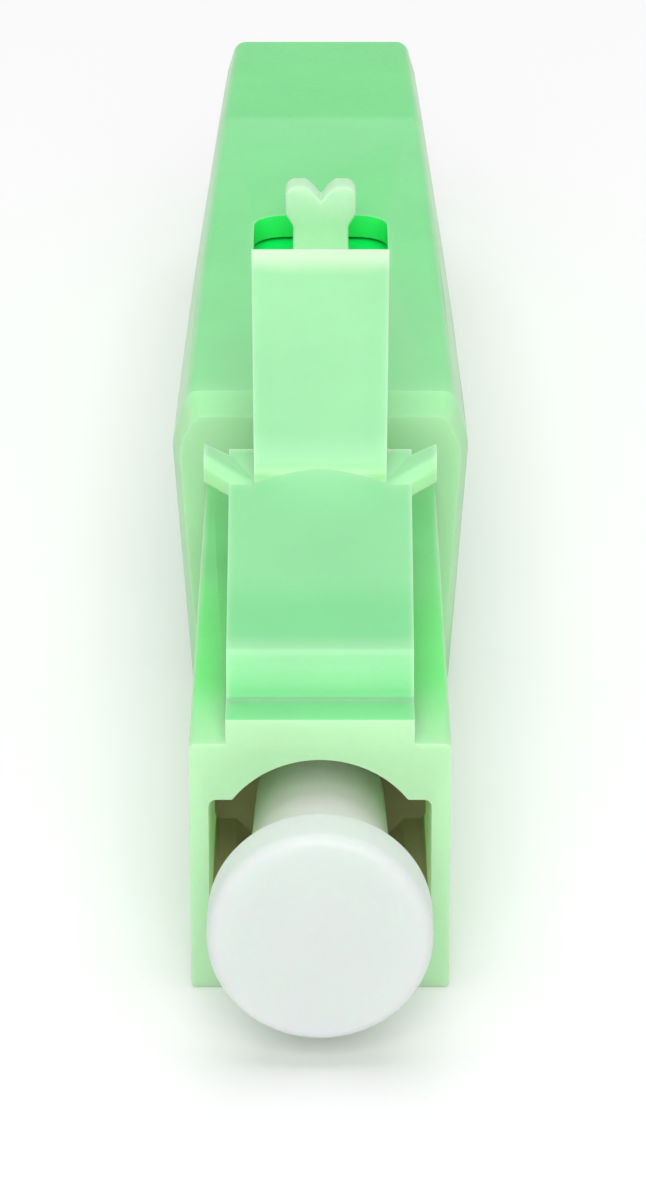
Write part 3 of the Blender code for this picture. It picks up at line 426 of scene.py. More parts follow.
# The plug's tones along it are painted light and shade: its sides paler at the front face, its upward faces
# paler at the front edge, deepest green 2.8 to 6 mm back and lighter towards the rear.
plug_green = moulded(
    "green_polycarbonate_plug",
    wall=[(0, (0.48, 0.79, 0.46)), (0.4, (0.44, 0.78, 0.42)), (3, green_wall)],
    upward_shade=[(0, (0.36, 0.74, 0.36)), (0.9, (0.30, 0.74, 0.32)), (2.8, (0.13, 0.76, 0.17)),
           (6, (0.12, 0.76, 0.16)), (8.5, (0.17, 0.73, 0.22)), (13, (0.24, 0.70, 0.28))],
    **green_body,
)
# Painted shade: a darker green copy of the plug's moulding for the faces above the frame's top, the latch
# root's ledge.
ledge_painted_shade = moulded("green_polycarbonate_ledge_painted_shade", wall=green_wall, upward_shade=(0.17, 0.68, 0.24), **green_body)
# Painted light: the mouth's inner walls are a much paler green than the frame, palest at the front, for light
# that comes through the thin walls; their subsurface reaches further too.
mouth_painted_light = moulded(
    "green_polycarbonate_mouth_painted_light",
    wall=[(0, (0.72, 0.98, 0.58)), (4, (0.66, 0.92, 0.50))],
    **{**green_body, "through": 0.95, "depth": 2.4},
)
# Painted shade: the mouth's floor and the stop wall, faces of the same green frame, are painted olive where
# shade falls deep in the mouth.
stop_painted_shade = moulded(
    "green_polycarbonate_stop_painted_shade", wall=(0.62, 0.60, 0.30), edge=(0.62, 0.60, 0.30), highlight_width=0.1,
    highlight_gain=0.2, mottle=0.3, gloss=0.45, grain=0.6,
)

plug_low, plug_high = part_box("plug_frame")
plug_half = (plug_high.x - plug_low.x) / 2 / MM
plug_base = (plug_low.z - axis_z) / MM
plug_top = 2.2
plug_length = 13.0
plug_rear = (plug_high.y - front_y) / MM
neck_half = 2.0
room_half = 1.8
mouth_radius = 1.9
mouth_half = 1.92
mouth_shoulder = 1.15
mouth_depth = 4.2
stop_rear = 4.8
stop_bore = 0.925
window_front, window_rear, window_half = 10.6, 11.8, 0.6
root_half = 1.62
root_rear = 0.95
root_top = 2.65
bead_up = 2.45
bead_radius = 0.2
bead_gap = 0.005
mouth_gap = 0.05

corner = 0.12
frame_piece = drawn_along(
    "plug_frame_moulding",
    rounded([(-plug_half, plug_base, corner), (plug_half, plug_base, corner),
             (plug_half, plug_top, corner), (-plug_half, plug_top, corner)]),
    0, plug_length,
)
meet = math.asin(mouth_shoulder / mouth_radius)
arch = [meet + (math.pi - 2 * meet) * i / 40 for i in range(41)]
arch_points = [(mouth_radius * math.cos(a), mouth_radius * math.sin(a)) for a in arch]
slot_left = rounded(
    [(-mouth_half, mouth_shoulder, 0.14), (-mouth_half, -mouth_shoulder, 0.14), (0, -mouth_shoulder, 0),
     (0, mouth_shoulder, 0)], 5
)[:12]
upper_mouth = arch_points + slot_left
mouth_outline = upper_mouth + [(-x, -z) for x, z in upper_mouth]
combine(frame_piece, "UNION",
        slab("neck", neck_half, plug_length - 0.1, plug_rear, -neck_half, neck_half),
        slab("latch_root", root_half, 0, root_rear, plug_top - 0.1, root_top))
bead_seat = [
    (root_rear + (bead_radius + bead_gap) * math.cos(a), bead_up + (bead_radius + bead_gap) * math.sin(a))
    for a in (2 * math.pi * i / 48 for i in range(48))
]
combine(frame_piece, "DIFFERENCE",
        drawn_along("mouth", mouth_outline, -0.1, mouth_depth),
        turned("stop_hole", [(0, mouth_depth - 0.1), (stop_bore, mouth_depth - 0.1),
                             (stop_bore, stop_rear + 0.1), (0, stop_rear + 0.1)], 64),
        slab("rear_room", room_half, stop_rear, plug_rear + 0.1, -room_half, room_half),
        slab("windows", plug_half + 0.1, window_front, window_rear, -window_half, window_half),
        drawn_across("bead_seat", bead_seat, lambda y: root_half + 0.1),
        slab("bead_clearance", root_half + 0.1, root_rear, root_rear + 0.2, plug_top, root_top + 0.1))
soften(frame_piece, 0.05, 2)
placed(frame_piece, "housing", "plug_frame", plug_green)
frame_piece.data.materials.append(ledge_painted_shade)
frame_piece.data.materials.append(mouth_painted_light)
frame_piece.data.materials.append(stop_painted_shade)
# Faces above the frame's top take the ledge's painted shade; inside the mouth, faces that look up or forward
# take the olive painted shade and the rest the mouth's painted light.
for face in frame_piece.data.polygons:
    middle = face.center
    if middle.z > up(plug_top + 0.02):
        face.material_index = 1
    elif abs(middle.x) < mouth_half * MM and abs(middle.z - axis_z) < mouth_radius * MM:
        if along(0.06) < middle.y < along(stop_rear + 0.1):
            face.material_index = 3 if face.normal.z > 0.6 or face.normal.y < -0.6 else 2

# ---------------------------------------------------------------------------------------------
# Latch lever. The same green moulding, here on a round bead at its root: a nose, a sloping arm
# with a low crown before the tab, two swept locking lugs, and the raised, slightly dished tab.
lever_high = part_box("latch_lever")[1]
lug_span = lever_high.x / MM
tab_end = (lever_high.y - front_y) / MM
tab_top = (lever_high.z - axis_z) / MM
nose_top = 3.31
nose_from, nose_to = 0.98, 1.62
flat_end = 3.5
flat_top = 3.42
step = 8.0
step_foot = 3.86
arm_end = 9.2
arm_thick = 0.78
arm_rise = 0.3
crown_run, crown_rise = 1.6, 0.26
tab_front_top = 4.16
tab_front_round = 0.18
tab_thick = 0.6
arm_half_front, arm_half_rear = 1.62, 1.71
tab_half_front, tab_half_rear = 1.23, 1.34


def share(value, low, high):
    return min(max((value - low) / (high - low), 0.0), 1.0)


def arm_top(y):
    if y < nose_to:
        return root_top + (nose_top - root_top) * math.sin(math.pi / 2 * share(y, nose_from, nose_to)) ** 1.5
    if y < flat_end:
        return nose_top + (flat_top - nose_top) * share(y, nose_to, flat_end)
    if y < step:
        return flat_top + (step_foot - flat_top) * share(y, flat_end, step)
    return step_foot + arm_rise * share(y, step, arm_end)


def arm_under(y):
    if y < root_rear + 0.6:
        return bead_up - bead_radius + 0.25 * share(y, root_rear, root_rear + 0.6)
    if y < flat_end:
        return bead_up + 0.05 + (flat_top - arm_thick - bead_up - 0.05) * share(y, root_rear + 0.6, flat_end)
    sloped = (step_foot - flat_top) * share(y, flat_end, step) + arm_rise * share(y, step, arm_end)
    return flat_top - arm_thick + sloped


def crown(x, y):
    """The arm's top swells towards the tab, so that the tab's front edge shows as an arch."""
    rise = share(y, step - crown_run, step) ** 2
    return crown_rise * rise * max(1 - (x / tab_half_front) ** 2, 0.0)


def arm_section(y):
    half = arm_half_front + (arm_half_rear - arm_half_front) * share(y, root_rear, arm_end)
    across = [half * (2 * i / 24 - 1) for i in range(25)]
    top = [(x, y, arm_top(y) + crown(x, y)) for x in across]
    return [(half, y, arm_under(y)), (-half, y, arm_under(y))] + top


stations = [root_rear] + [nose_from + (nose_to - nose_from) * i / 14 for i in range(15)]
stations += [2.2, flat_end - 0.15, flat_end, flat_end + 0.15, 5.0]
stations += [step - crown_run + 0.2 * i for i in range(9)] + [step + 0.3, arm_end]
lever_piece = lofted("latch_lever_moulding", [arm_section(y) for y in stations])


def tab_section(y):
    """Across the tab: thin raised rims, and a shallow dish between them that runs out at its end."""
    half = tab_half_front + (tab_half_rear - tab_half_front) * share(y, step, tab_end)
    height = tab_front_top + (tab_top - tab_front_top) * share(y, step, tab_end)
    left = max(step + 0.1 + tab_front_round - y, 0.0)
    height += math.sqrt(tab_front_round**2 - left**2) - tab_front_round
    dish = 0.07 * share(y, step + 0.4, step + 1.2) * (1 - share(y, tab_end - 0.75, tab_end - 0.3))
    across = [half * (2 * i / 24 - 1) for i in range(25)]
    top = [(x, y, height - dish * (1 - share(abs(x) / half, 0.72, 0.9))) for x in across]
    under = height - tab_thick if y > arm_end else step_foot - 0.1
    return [(half, y, under), (-half, y, under)] + top


tab_stations = [step + 0.1 + tab_front_round * (1 - math.cos(math.pi / 2 * i / 5)) for i in range(6)]
tab_stations += [step + 0.45, step + 0.8, arm_end - 0.02, arm_end + 0.02]
tab_stations += [arm_end + (tab_end - arm_end) * i / 16 for i in range(1, 16)]
tab_stations += [tab_end - 0.12, tab_end]
tab_piece = lofted("tab", [tab_section(y) for y in tab_stations])


def lug_section(x):
    """Along one lug: it sweeps back and rises towards its outer end."""
    out = share(abs(x), 1.3, lug_span)
    front, top, base = step - 0.05 + 0.3 * out, step_foot + 0.06 + 0.42 * out, step_foot - 0.42 + 0.4 * out
    bow = [math.pi / 2 * i / 6 for i in range(7)]
    brow = [(x, front + 0.3 * (1 - math.cos(a)), top - 0.3 + 0.3 * math.sin(a)) for a in bow]
    return [(x, front + 0.06, base), (x, front, base + 0.06)] + brow + [(x, arm_end - 0.2, top),
                                                                      (x, arm_end - 0.2, base)]


lug_span_steps = [lug_span * (i / 12 - 1) for i in range(25)]
lug_piece = lofted("lugs", [lug_section(x) for x in lug_span_steps])
bead = [
    (root_rear + bead_radius * math.cos(a), bead_up + bead_radius * math.sin(a))
    for a in (2 * math.pi * (i + 0.5) / 48 for i in range(48))
]
bead_piece = drawn_across("bead", bead, lambda y: root_half)
combine(lever_piece, "UNION", bead_piece, lug_piece, tab_piece)
soften(lever_piece, 0.06, 3, 30)
# The lever's tones along it are painted light and shade: a dark groove behind the root, a painted highlight
# on the nose, a darker flat, a lighter band at the tab's front and a bright painted highlight at the tab's
# end; its edge highlight is stronger.
lever_green = moulded(
    "green_polycarbonate_lever",
    wall=[(0.9, (0.15, 0.66, 0.22)), (1.15, (0.19, 0.68, 0.26)), (1.5, (0.31, 0.73, 0.36)), (2.5, green_wall),
          (14, green_wall)],
    upward_shade=[(0.9, (0.15, 0.66, 0.22)), (1.15, (0.19, 0.68, 0.26)), (1.5, (0.34, 0.75, 0.39)),
           (2.1, (0.185, 0.67, 0.26)), (3.3, (0.18, 0.66, 0.25)), (4.4, (0.24, 0.70, 0.305)),
           (7.8, (0.25, 0.70, 0.31)), (8.3, (0.34, 0.74, 0.38)), (9.0, (0.28, 0.68, 0.325)),
           (12.9, (0.29, 0.69, 0.33)), (13.3, (0.58, 0.80, 0.54))],
    **{**green_body, "highlight_gain": 1.3},
)
placed(lever_piece, "latch", "latch_lever", lever_green)

# ---------------------------------------------------------------------------------------------
# Rear shell. A thin green moulding that slips over the core body from behind: its sides lean
# and draw in towards the cable, its front edge is chamfered, and its roof has the button's slot.
shell_low, shell_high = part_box("rear_shell")
shell_front = (shell_low.y - front_y) / MM
shell_rear = (shell_high.y - front_y) / MM
shell_top = (shell_high.z - axis_z) / MM
shell_wall = 0.5
side_wall = 0.42
base_wall = 0.35
half_base, half_shoulder, half_top = 2.56, 2.924, 2.62
shoulder_up = 2.75
rear_share = 0.8
crease = 32.4
roof_drop = 0.25


def shell_outline(y, side_in=0.0, roof_in=0.0, base_in=0.0, steps=8):
    run = (y - shell_front) / (shell_rear - shell_front)
    narrow = 1 - (1 - rear_share) * max(run, 0.0) ** 1.35
    roof = shell_top - roof_drop * share(y, crease, shell_rear) - roof_in
    base, shoulder, top = (narrow * half - side_in for half in (half_base, half_shoulder, half_top))
    low = plug_base + base_in
    corners = [(-base, low, 0.25), (base, low, 0.25), (shoulder, shoulder_up, 0.8), (top, roof, 0.3),
               (-top, roof, 0.3), (-shoulder, shoulder_up, 0.8)]
    return [(x, y, z) for x, z in rounded(corners, steps)]


front_chamfer, rear_corner = 0.4, 0.5
shell_sections = [shell_outline(shell_front, 0.15, front_chamfer, 0.1)]
shell_body_from, shell_body_to = shell_front + front_chamfer, shell_rear - rear_corner
shell_sections += [
    shell_outline(shell_body_from + (shell_body_to - shell_body_from) * i / 40) for i in range(41)
]
for i in range(1, 9):
    swing = math.pi / 2 * i / 8
    inset = rear_corner * (1 - math.cos(swing))
    shell_sections.append(shell_outline(shell_body_to + rear_corner * math.sin(swing), inset, inset, inset))
shell_piece = lofted("rear_shell_moulding", shell_sections)
room_front, room_rear = shell_front + 0.8, shell_rear - 0.7
slot_half = 1.45
slot_front, slot_rear = 20.7, 24.9
button_plate = shell_top - shell_wall - 0.05
tail_hole = 1.65
combine(
    shell_piece, "DIFFERENCE",
    lofted("shell_room", [shell_outline(room_front + (room_rear - room_front) * i / 16, side_wall, shell_wall,
                                        base_wall) for i in range(17)]),
    slab("shell_mouth", neck_half + mouth_gap, shell_front - 0.1, room_front + 0.1, -neck_half - mouth_gap,
         neck_half + mouth_gap),
    turned("tail_hole", [(0, room_rear - 0.1), (tail_hole, room_rear - 0.1), (tail_hole, shell_rear + 0.1),
                         (0, shell_rear + 0.1)], 64),
    drawn_up("button_slot", rounded([(-slot_half, slot_front, 0.7), (slot_half, slot_front, 0.7),
                                     (slot_half, slot_rear, 0.7), (-slot_half, slot_rear, 0.7)], 8),
             button_plate, shell_top + 0.1),
)
soften(shell_piece, 0.07, 3, 24)
# Painted light and shade on the shell's upward faces: a lighter band on the front chamfer, deeper green
# further back, and darker still beyond the crease at 32.4 mm where the roof slopes away.
shell_green = moulded(
    "green_polycarbonate_shell", wall=(0.43, 0.77, 0.43),
    upward_shade=[(13, (0.32, 0.72, 0.35)), (14.2, (0.21, 0.68, 0.26)), (24, (0.13, 0.68, 0.20)),
           (32.3, (0.15, 0.69, 0.22)), (32.7, (0.08, 0.65, 0.15)), (40, (0.07, 0.65, 0.14))],
    **green_body,
)
placed(shell_piece, "housing", "rear_shell", shell_green)
# Painted shade: the slot's side walls are a deep, saturated green for the shade inside the narrow slot.
slot_painted_shade = moulded("green_polycarbonate_slot_painted_shade", wall=(0.035, 0.88, 0.17), **{**green_body, "highlight_gain": 0.1})
shell_piece.data.materials.append(slot_painted_shade)
# The slot's upright walls take the slot's painted shade.
for face in shell_piece.data.polygons:
    middle = face.center
    if abs(middle.x) < (slot_half + 0.01) * MM and up(button_plate - 0.1) < middle.z < up(shell_top - 0.08):
        if along(slot_front - 0.01) < middle.y < along(slot_rear + 0.01) and abs(face.normal.z) < 0.5:
            face.material_index = 1

# ---------------------------------------------------------------------------------------------
# Lock slider. A green saddle under the shell's roof; only its two-lobed thumb button stands out
# through the slot. Pushed towards the plug, its wedge presses the splice lids down.
slider_low, slider_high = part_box("lock_slider")
slider_from = (slider_low.y - front_y) / MM
slider_to = (slider_high.y - front_y) / MM
saddle_half = slider_high.x / MM
saddle_inner = saddle_half - 0.3
saddle_foot = (slider_low.z - axis_z) / MM
saddle_top = button_plate
saddle_under = saddle_top - 0.4
button_rear = 24.3
button_front = button_rear - 0.7
button_top = (slider_high.z - axis_z) / MM
head_half, neck_width = 0.76, 0.6
neck_end, head_foot = 3.95, 4.2
wedge_up, wedge_half = 1.3, 0.5
lid_travel, slider_travel = 0.12, 2.8
lid_gap = 20.25
saddle = drawn_along(
    "lock_slider_moulding",
    [(-saddle_half, saddle_foot), (-saddle_inner, saddle_foot), (-saddle_inner, saddle_under),
     (saddle_inner, saddle_under), (saddle_inner, saddle_foot), (saddle_half, saddle_foot),
     (saddle_half, saddle_top), (-saddle_half, saddle_top)],
    slider_from, slider_to,
)


def wedge_height(y):
    """The wedge drops the lids' travel over the slider's own, from the gap between the two lids."""
    return wedge_up - lid_travel / slider_travel * (y - lid_gap)


wedge = drawn_across(
    "wedge",
    [(slider_from, wedge_height(slider_from)), (slider_to, wedge_height(slider_to)),
     (slider_to, saddle_under + 0.1), (slider_from, saddle_under + 0.1)],
    lambda y: wedge_half,
)
lobes = []
for side in (1, -1):
    lobe = [(head_half, button_top - 0.18), (head_half - 0.06, button_top - 0.06),
            (head_half - 0.18, button_top), (head_half * 0.42, button_top),
            (head_half * 0.2, button_top - 0.14)]
    lobes += lobe if side == 1 else [(-x, z) for x, z in reversed(lobe)]
    if side == 1:
        lobes.append((0, button_top - 0.35))
button = drawn_along(
    "button",
    [(-neck_width, saddle_top - 0.1), (neck_width, saddle_top - 0.1), (neck_width, neck_end),
     (head_half, head_foot)]
    + lobes + [(-head_half, head_foot), (-neck_width, neck_end)],
    button_front, button_rear,
)
combine(saddle, "UNION", wedge, button)
soften(saddle, 0.06, 3, 30)
# Painted shade: the saddle's upward faces, seen through the slot, are a deep, saturated green for the shade
# under the roof; its sides are lighter.
slider_painted_shade = moulded(
    "green_polycarbonate_slider_painted_shade", wall=(0.66, 0.88, 0.66), upward_shade=(0.005, 0.80, 0.12),
    **{**green_body, "highlight_gain": 0.2, "through": 0.25},
)
slider_painted_shade.node_tree.nodes["Principled BSDF"].inputs["IOR"].default_value = 1.12
placed(saddle, "slider", "lock_slider", slider_painted_shade)
# The button takes a paler copy of the slider's green: painted light where it stands out through the slot, its
# sides paler still on the lit front.
button_green = moulded(
    "green_polycarbonate_button", wall=(0.62, 0.86, 0.62), upward_shade=(0.46, 0.78, 0.47), **green_body,
)
saddle.data.materials.append(button_green)
for face in saddle.data.polygons:
    if face.center.z > up(saddle_top + 0.02):
        face.material_index = 1

# ---------------------------------------------------------------------------------------------
# Dust cap. Translucent polyethylene, turned in shape: a disc to pull it by, and a tapered
# sleeve that grips the ferrule in a blind bore. The gate leaves a small dimple on its face.
cap_low, cap_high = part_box("dust_cap")
disc_radius = (cap_high.z - cap_low.z) / 2 / MM
cap_front = (cap_low.y - front_y) / MM
cap_rear = (cap_high.y - front_y) / MM
disc_rear = cap_front + 1.1
disc_edge = 0.2
bore = 0.685
bore_end = -2.0
sweep = [math.pi / 2 * i / 8 for i in range(9)]
gate_depth = 0.012
cap_profile = [(0, cap_front + gate_depth), (0.2, cap_front + gate_depth),
               (0.28, cap_front + gate_depth / 2), (0.4, cap_front)]
cap_profile += [
    (disc_radius - disc_edge + disc_edge * math.sin(a), cap_front + disc_edge * (1 - math.cos(a)))
    for a in sweep
]
cap_profile += [
    (disc_radius - disc_edge * (1 - math.cos(a)), disc_rear - disc_edge * (1 - math.sin(a))) for a in sweep
]
cap_profile += [(1.28 + 0.15 * (1 - math.sin(a)), disc_rear + 0.15 * (1 - math.cos(a))) for a in sweep]
cap_profile += [(1.135, cap_rear - 0.04), (1.1, cap_rear), (bore + 0.05, cap_rear), (bore, cap_rear - 0.06),
                (bore, bore_end + 0.1), (bore - 0.1, bore_end), (0, bore_end)]
cap_piece = turned("dust_cap_moulding", cap_profile, 128)
cap_piece.data.shade_smooth()
cap_piece.data.set_sharp_from_angle(angle=math.radians(35))
# Painted light: the sleeve is tinted from grey white at the disc to a pale green inside the plug, for the
# green light that reaches it through the frame's walls.
cap_plastic = moulded(
    "cap_polyethylene",
    wall=[(-3.2, (0.73, 0.765, 0.76)), (-3.0, (0.71, 0.76, 0.735)), (-1.8, (0.78, 0.93, 0.78)),
          (0, (0.84, 1.0, 0.82)), (3, (0.84, 1.0, 0.82))],
    edge=(0.78, 0.83, 0.80), highlight_width=0.3, highlight_gain=0.6, mottle=0.03, gloss=0.36, grain=0.3, through=0.7,
    depth=2.0,
)
cap_shader = cap_plastic.node_tree.nodes["Principled BSDF"]
cap_shader.inputs["Transmission Weight"].default_value = 0.15
cap_shader.inputs["IOR"].default_value = 1.45
placed(cap_piece, "cap", "dust_cap", cap_plastic)

# ---------------------------------------------------------------------------------------------
# Ferrule and its holder. White zirconia, ground round and polished at 8 degrees on its end, in
# a nickel-plated brass flange with a hexagon head, and the glass stub that runs through both.
pale = moulded(
    "natural_polymer", wall=(0.70, 0.74, 0.68), edge=(0.82, 0.85, 0.80), highlight_width=0.25, highlight_gain=2.5,
    mottle=0.05, gloss=0.42, grain=0.35, through=0.2, depth=0.6,
)
clear = moulded(
    "clear_polymer", wall=(0.72, 0.84, 0.80), edge=(0.88, 0.94, 0.92), highlight_width=0.25, highlight_gain=2.5,
    mottle=0.03, gloss=0.18, grain=0.2, through=0.3, depth=0.8,
)
zirconia = moulded(
    "polished_zirconia", wall=(0.86, 0.85, 0.80), edge=(0.93, 0.92, 0.88), highlight_width=0.1, highlight_gain=1.5,
    mottle=0.02, gloss=0.08, grain=0.08, through=0.2, depth=0.4,
)
ferrule_low, ferrule_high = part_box("ferrule")
ferrule_from = (ferrule_low.y - front_y) / MM
ferrule_to = (ferrule_high.y - front_y) / MM
ferrule_radius = 0.625
fibre_bore = 0.11
ferrule_piece = turned(
    "ferrule_ground",
    [(fibre_bore, ferrule_from - 0.2), (ferrule_radius - 0.16, ferrule_from - 0.2),
     (ferrule_radius - 0.15, ferrule_from), (ferrule_radius - 0.04, ferrule_from + 0.2),
     (ferrule_radius, ferrule_from + 0.3), (ferrule_radius, ferrule_to - 0.1),
     (ferrule_radius - 0.1, ferrule_to), (fibre_bore, ferrule_to)],
)
polish = math.tan(math.radians(8))
combine(ferrule_piece, "DIFFERENCE", drawn_across(
    "angled_polish",
    [(ferrule_from - 1, -1), (ferrule_from - polish + 0.06, -1), (ferrule_from + polish + 0.06, 1),
     (ferrule_from - 1, 1)],
    lambda y: 1,
))
ferrule_piece.data.shade_smooth()
ferrule_piece.data.set_sharp_from_angle(angle=math.radians(30))
placed(ferrule_piece, "ferrule_unit", "ferrule", zirconia)

plating = bpy.data.materials.new("nickel_plate")
spring_wire = bpy.data.materials.new("spring_steel_wire")
for metal, colour, roughness in (
    (plating, (0.66, 0.63, 0.56), 0.22),
    (spring_wire, (0.56, 0.56, 0.55), 0.28),
):
    metal.use_nodes = True
    tree = metal.node_tree
    shader = tree.nodes["Principled BSDF"]
    shader.inputs["Metallic"].default_value = 1.0
    place = tree.nodes.new("ShaderNodeTexCoord")
    stretch = tree.nodes.new("ShaderNodeMapping")
    stretch.inputs["Scale"].default_value = (1.0, 30.0, 1.0)
    lines = tree.nodes.new("ShaderNodeTexNoise")
    lines.inputs["Scale"].default_value = 900.0
    tint = tree.nodes.new("ShaderNodeMix")
    tint.data_type = "RGBA"
    tint.inputs["A"].default_value = (*[0.82 * c for c in colour], 1)
    tint.inputs["B"].default_value = (*colour, 1)
    rub = tree.nodes.new("ShaderNodeMapRange")
    rub.inputs["To Min"].default_value = roughness - 0.08
    rub.inputs["To Max"].default_value = roughness + 0.12
    tree.links.new(place.outputs["Object"], stretch.inputs["Vector"])
    tree.links.new(stretch.outputs["Vector"], lines.inputs["Vector"])
    tree.links.new(lines.outputs["Fac"], tint.inputs["Factor"])
    tree.links.new(tint.outputs["Result"], shader.inputs["Base Color"])
    tree.links.new(lines.outputs["Fac"], rub.inputs["Value"])
    tree.links.new(rub.outputs["Result"], shader.inputs["Roughness"])

fibre_glass = bpy.data.materials.new("silica_fibre")
fibre_glass.use_nodes = True
fibre_shader = fibre_glass.node_tree.nodes["Principled BSDF"]
fibre_shader.inputs["Transmission Weight"].default_value = 0.7
fibre_skin = fibre_glass.node_tree.nodes.new("ShaderNodeGroup")
fibre_skin.node_tree = skin
for label, value in (("Wall Colour", (0.9, 0.95, 1.0, 1)), ("Upward Shade Colour", (0.9, 0.95, 1.0, 1)),
                     ("Edge Highlight Colour", (0.95, 1.0, 1.0, 1)), ("Mottle", 0.01), ("Gloss", 0.02)):
    fibre_skin.inputs[label].default_value = value
fibre_glass.node_tree.links.new(fibre_skin.outputs["Colour"], fibre_shader.inputs["Base Color"])
fibre_glass.node_tree.links.new(fibre_skin.outputs["Roughness"], fibre_shader.inputs["Roughness"])


def dressed(node, finish):
    """A CAD piece whose shape is already right takes its finish and nothing else."""
    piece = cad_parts[node]
    for material_slot in piece.material_slots:
        material_slot.material = finish


dressed("ferrule_flange", plating)
dressed("fibre_stub", fibre_glass)
dressed("stub_guide_tube", pale)

# ---------------------------------------------------------------------------------------------
# Ferrule spring. Stainless wire wound as a compression coil behind the flange's head, swept
# round its own winding line by a node tree.
spring_low, spring_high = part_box("ferrule_spring")
coil_tree = bpy.data.node_groups.new("wound_coil", "GeometryNodeTree")
coil_tree.interface.new_socket("Geometry", in_out="OUTPUT", socket_type="NodeSocketGeometry")
coil_tree.interface.new_socket("Geometry", in_out="INPUT", socket_type="NodeSocketGeometry")
coil_sockets = {}
for label, kind, value in (
    ("Turns", "NodeSocketFloat", 6.0),
    ("Coil Radius", "NodeSocketFloat", 0.00127),
    ("Length", "NodeSocketFloat", 0.0033),
    ("Wire Radius", "NodeSocketFloat", 0.00014),
):
    socket = coil_tree.interface.new_socket(label, in_out="INPUT", socket_type=kind)
    socket.default_value = value
    coil_sockets[label] = socket.identifier
coil_in = coil_tree.nodes.new("NodeGroupInput")
coil_out = coil_tree.nodes.new("NodeGroupOutput")
coil_line = coil_tree.nodes.new("GeometryNodeCurveSpiral")
coil_line.inputs["Resolution"].default_value = 40
coil_wire = coil_tree.nodes.new("GeometryNodeCurvePrimitiveCircle")
coil_wire.inputs["Resolution"].default_value = 12
coil_sweep = coil_tree.nodes.new("GeometryNodeCurveToMesh")
coil_sweep.inputs["Fill Caps"].default_value = True
coil_real = coil_tree.nodes.new("GeometryNodeRealizeInstances")
coil_paint = coil_tree.nodes.new("GeometryNodeSetMaterial")
coil_paint.inputs["Material"].default_value = spring_wire
link = coil_tree.links.new
link(coil_in.outputs["Turns"], coil_line.inputs["Rotations"])
link(coil_in.outputs["Coil Radius"], coil_line.inputs["Start Radius"])
link(coil_in.outputs["Coil Radius"], coil_line.inputs["End Radius"])
link(coil_in.outputs["Length"], coil_line.inputs["Height"])
link(coil_in.outputs["Wire Radius"], coil_wire.inputs["Radius"])
link(coil_line.outputs["Curve"], coil_sweep.inputs["Curve"])
link(coil_wire.outputs["Curve"], coil_sweep.inputs["Profile Curve"])
link(coil_sweep.outputs["Mesh"], coil_real.inputs["Geometry"])
link(coil_real.outputs["Geometry"], coil_paint.inputs["Geometry"])
link(coil_paint.outputs["Geometry"], coil_out.inputs["Geometry"])


def grown(name, tree, values, start):
    """Runs a node tree once and keeps its result as plain mesh, laid along the fibre's axis."""
    made = bpy.data.objects.new(name, bpy.data.meshes.new(name))
    scene.collection.objects.link(made)
    step_one = made.modifiers.new("grow", "NODES")
    step_one.node_group = tree
    for identifier, value in values.items():
        step_one[identifier] = value
    settle(made)
    for vertex in made.data.vertices:
        x, y, z = vertex.co
        vertex.co = (x, start + z, axis_z - y)
    return made


wire_radius = 0.14 * MM
spring_piece = grown(
    "ferrule_spring_wire", coil_tree,
    {coil_sockets["Turns"]: 6.0, coil_sockets["Coil Radius"]: spring_high.x - wire_radius,
     coil_sockets["Length"]: spring_high.y - spring_low.y - 2 * wire_radius,
     coil_sockets["Wire Radius"]: wire_radius},
    spring_low.y + wire_radius,
)
spring_piece.data.shade_smooth()
spring_piece.data.materials.clear()
spring_piece.data.materials.append(spring_wire)
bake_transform(spring_piece)
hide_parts("ferrule_spring")

# ---------------------------------------------------------------------------------------------
# Splice unit and core body. The V-groove base with its two lids and spring clip, the funnel that
# leads the fibre in, and the pale core body and cover that carry them inside the shell.
dressed("splice_base", pale)
dressed("splice_lid_front", clear)
dressed("splice_lid_rear", clear)
dressed("splice_clip", spring_wire)
dressed("fibre_guide", clear)
dressed("core_body", pale)
dressed("core_cover", pale)
dressed("cable_jaw_left", pale)
dressed("cable_jaw_right", pale)

# ---------------------------------------------------------------------------------------------
# Tail nut. A green moulded nut with finger ribs all round, which screws onto the core body's
# tail and squeezes the jaws onto the cable; a black rubber grommet seals its end.
nut_low, nut_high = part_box("tail_nut")
nut_from = (nut_low.y - front_y) / MM
nut_to = (nut_high.y - front_y) / MM
nut_radius = (nut_high.z - nut_low.z) / 2 / MM
rib_height = 0.12
nut_bore, nut_narrow, cable_bore = 1.65, 1.25, 1.03
recess = nut_to - 0.8
tail_end = shell_rear + 3.0
cone_end = nut_to - 0.8 - 0.35
body_radius = nut_radius - rib_height
end_radius = body_radius - 0.2
edge = 0.15
nut_piece = turned(
    "tail_nut_moulding",
    [(nut_bore, nut_from), (body_radius - edge, nut_from)]
    + [(body_radius - edge * (1 - math.sin(a)), nut_from + edge * (1 - math.cos(a))) for a in sweep]
    + [(end_radius - edge * (1 - math.cos(a)), nut_to - edge * (1 - math.sin(a))) for a in sweep]
    + [(nut_narrow + 0.2, nut_to), (nut_narrow + 0.2, recess), (cable_bore, recess),
       (cable_bore, cone_end + 0.05), (nut_narrow, cone_end), (nut_bore, tail_end + 0.05)],
    128,
)

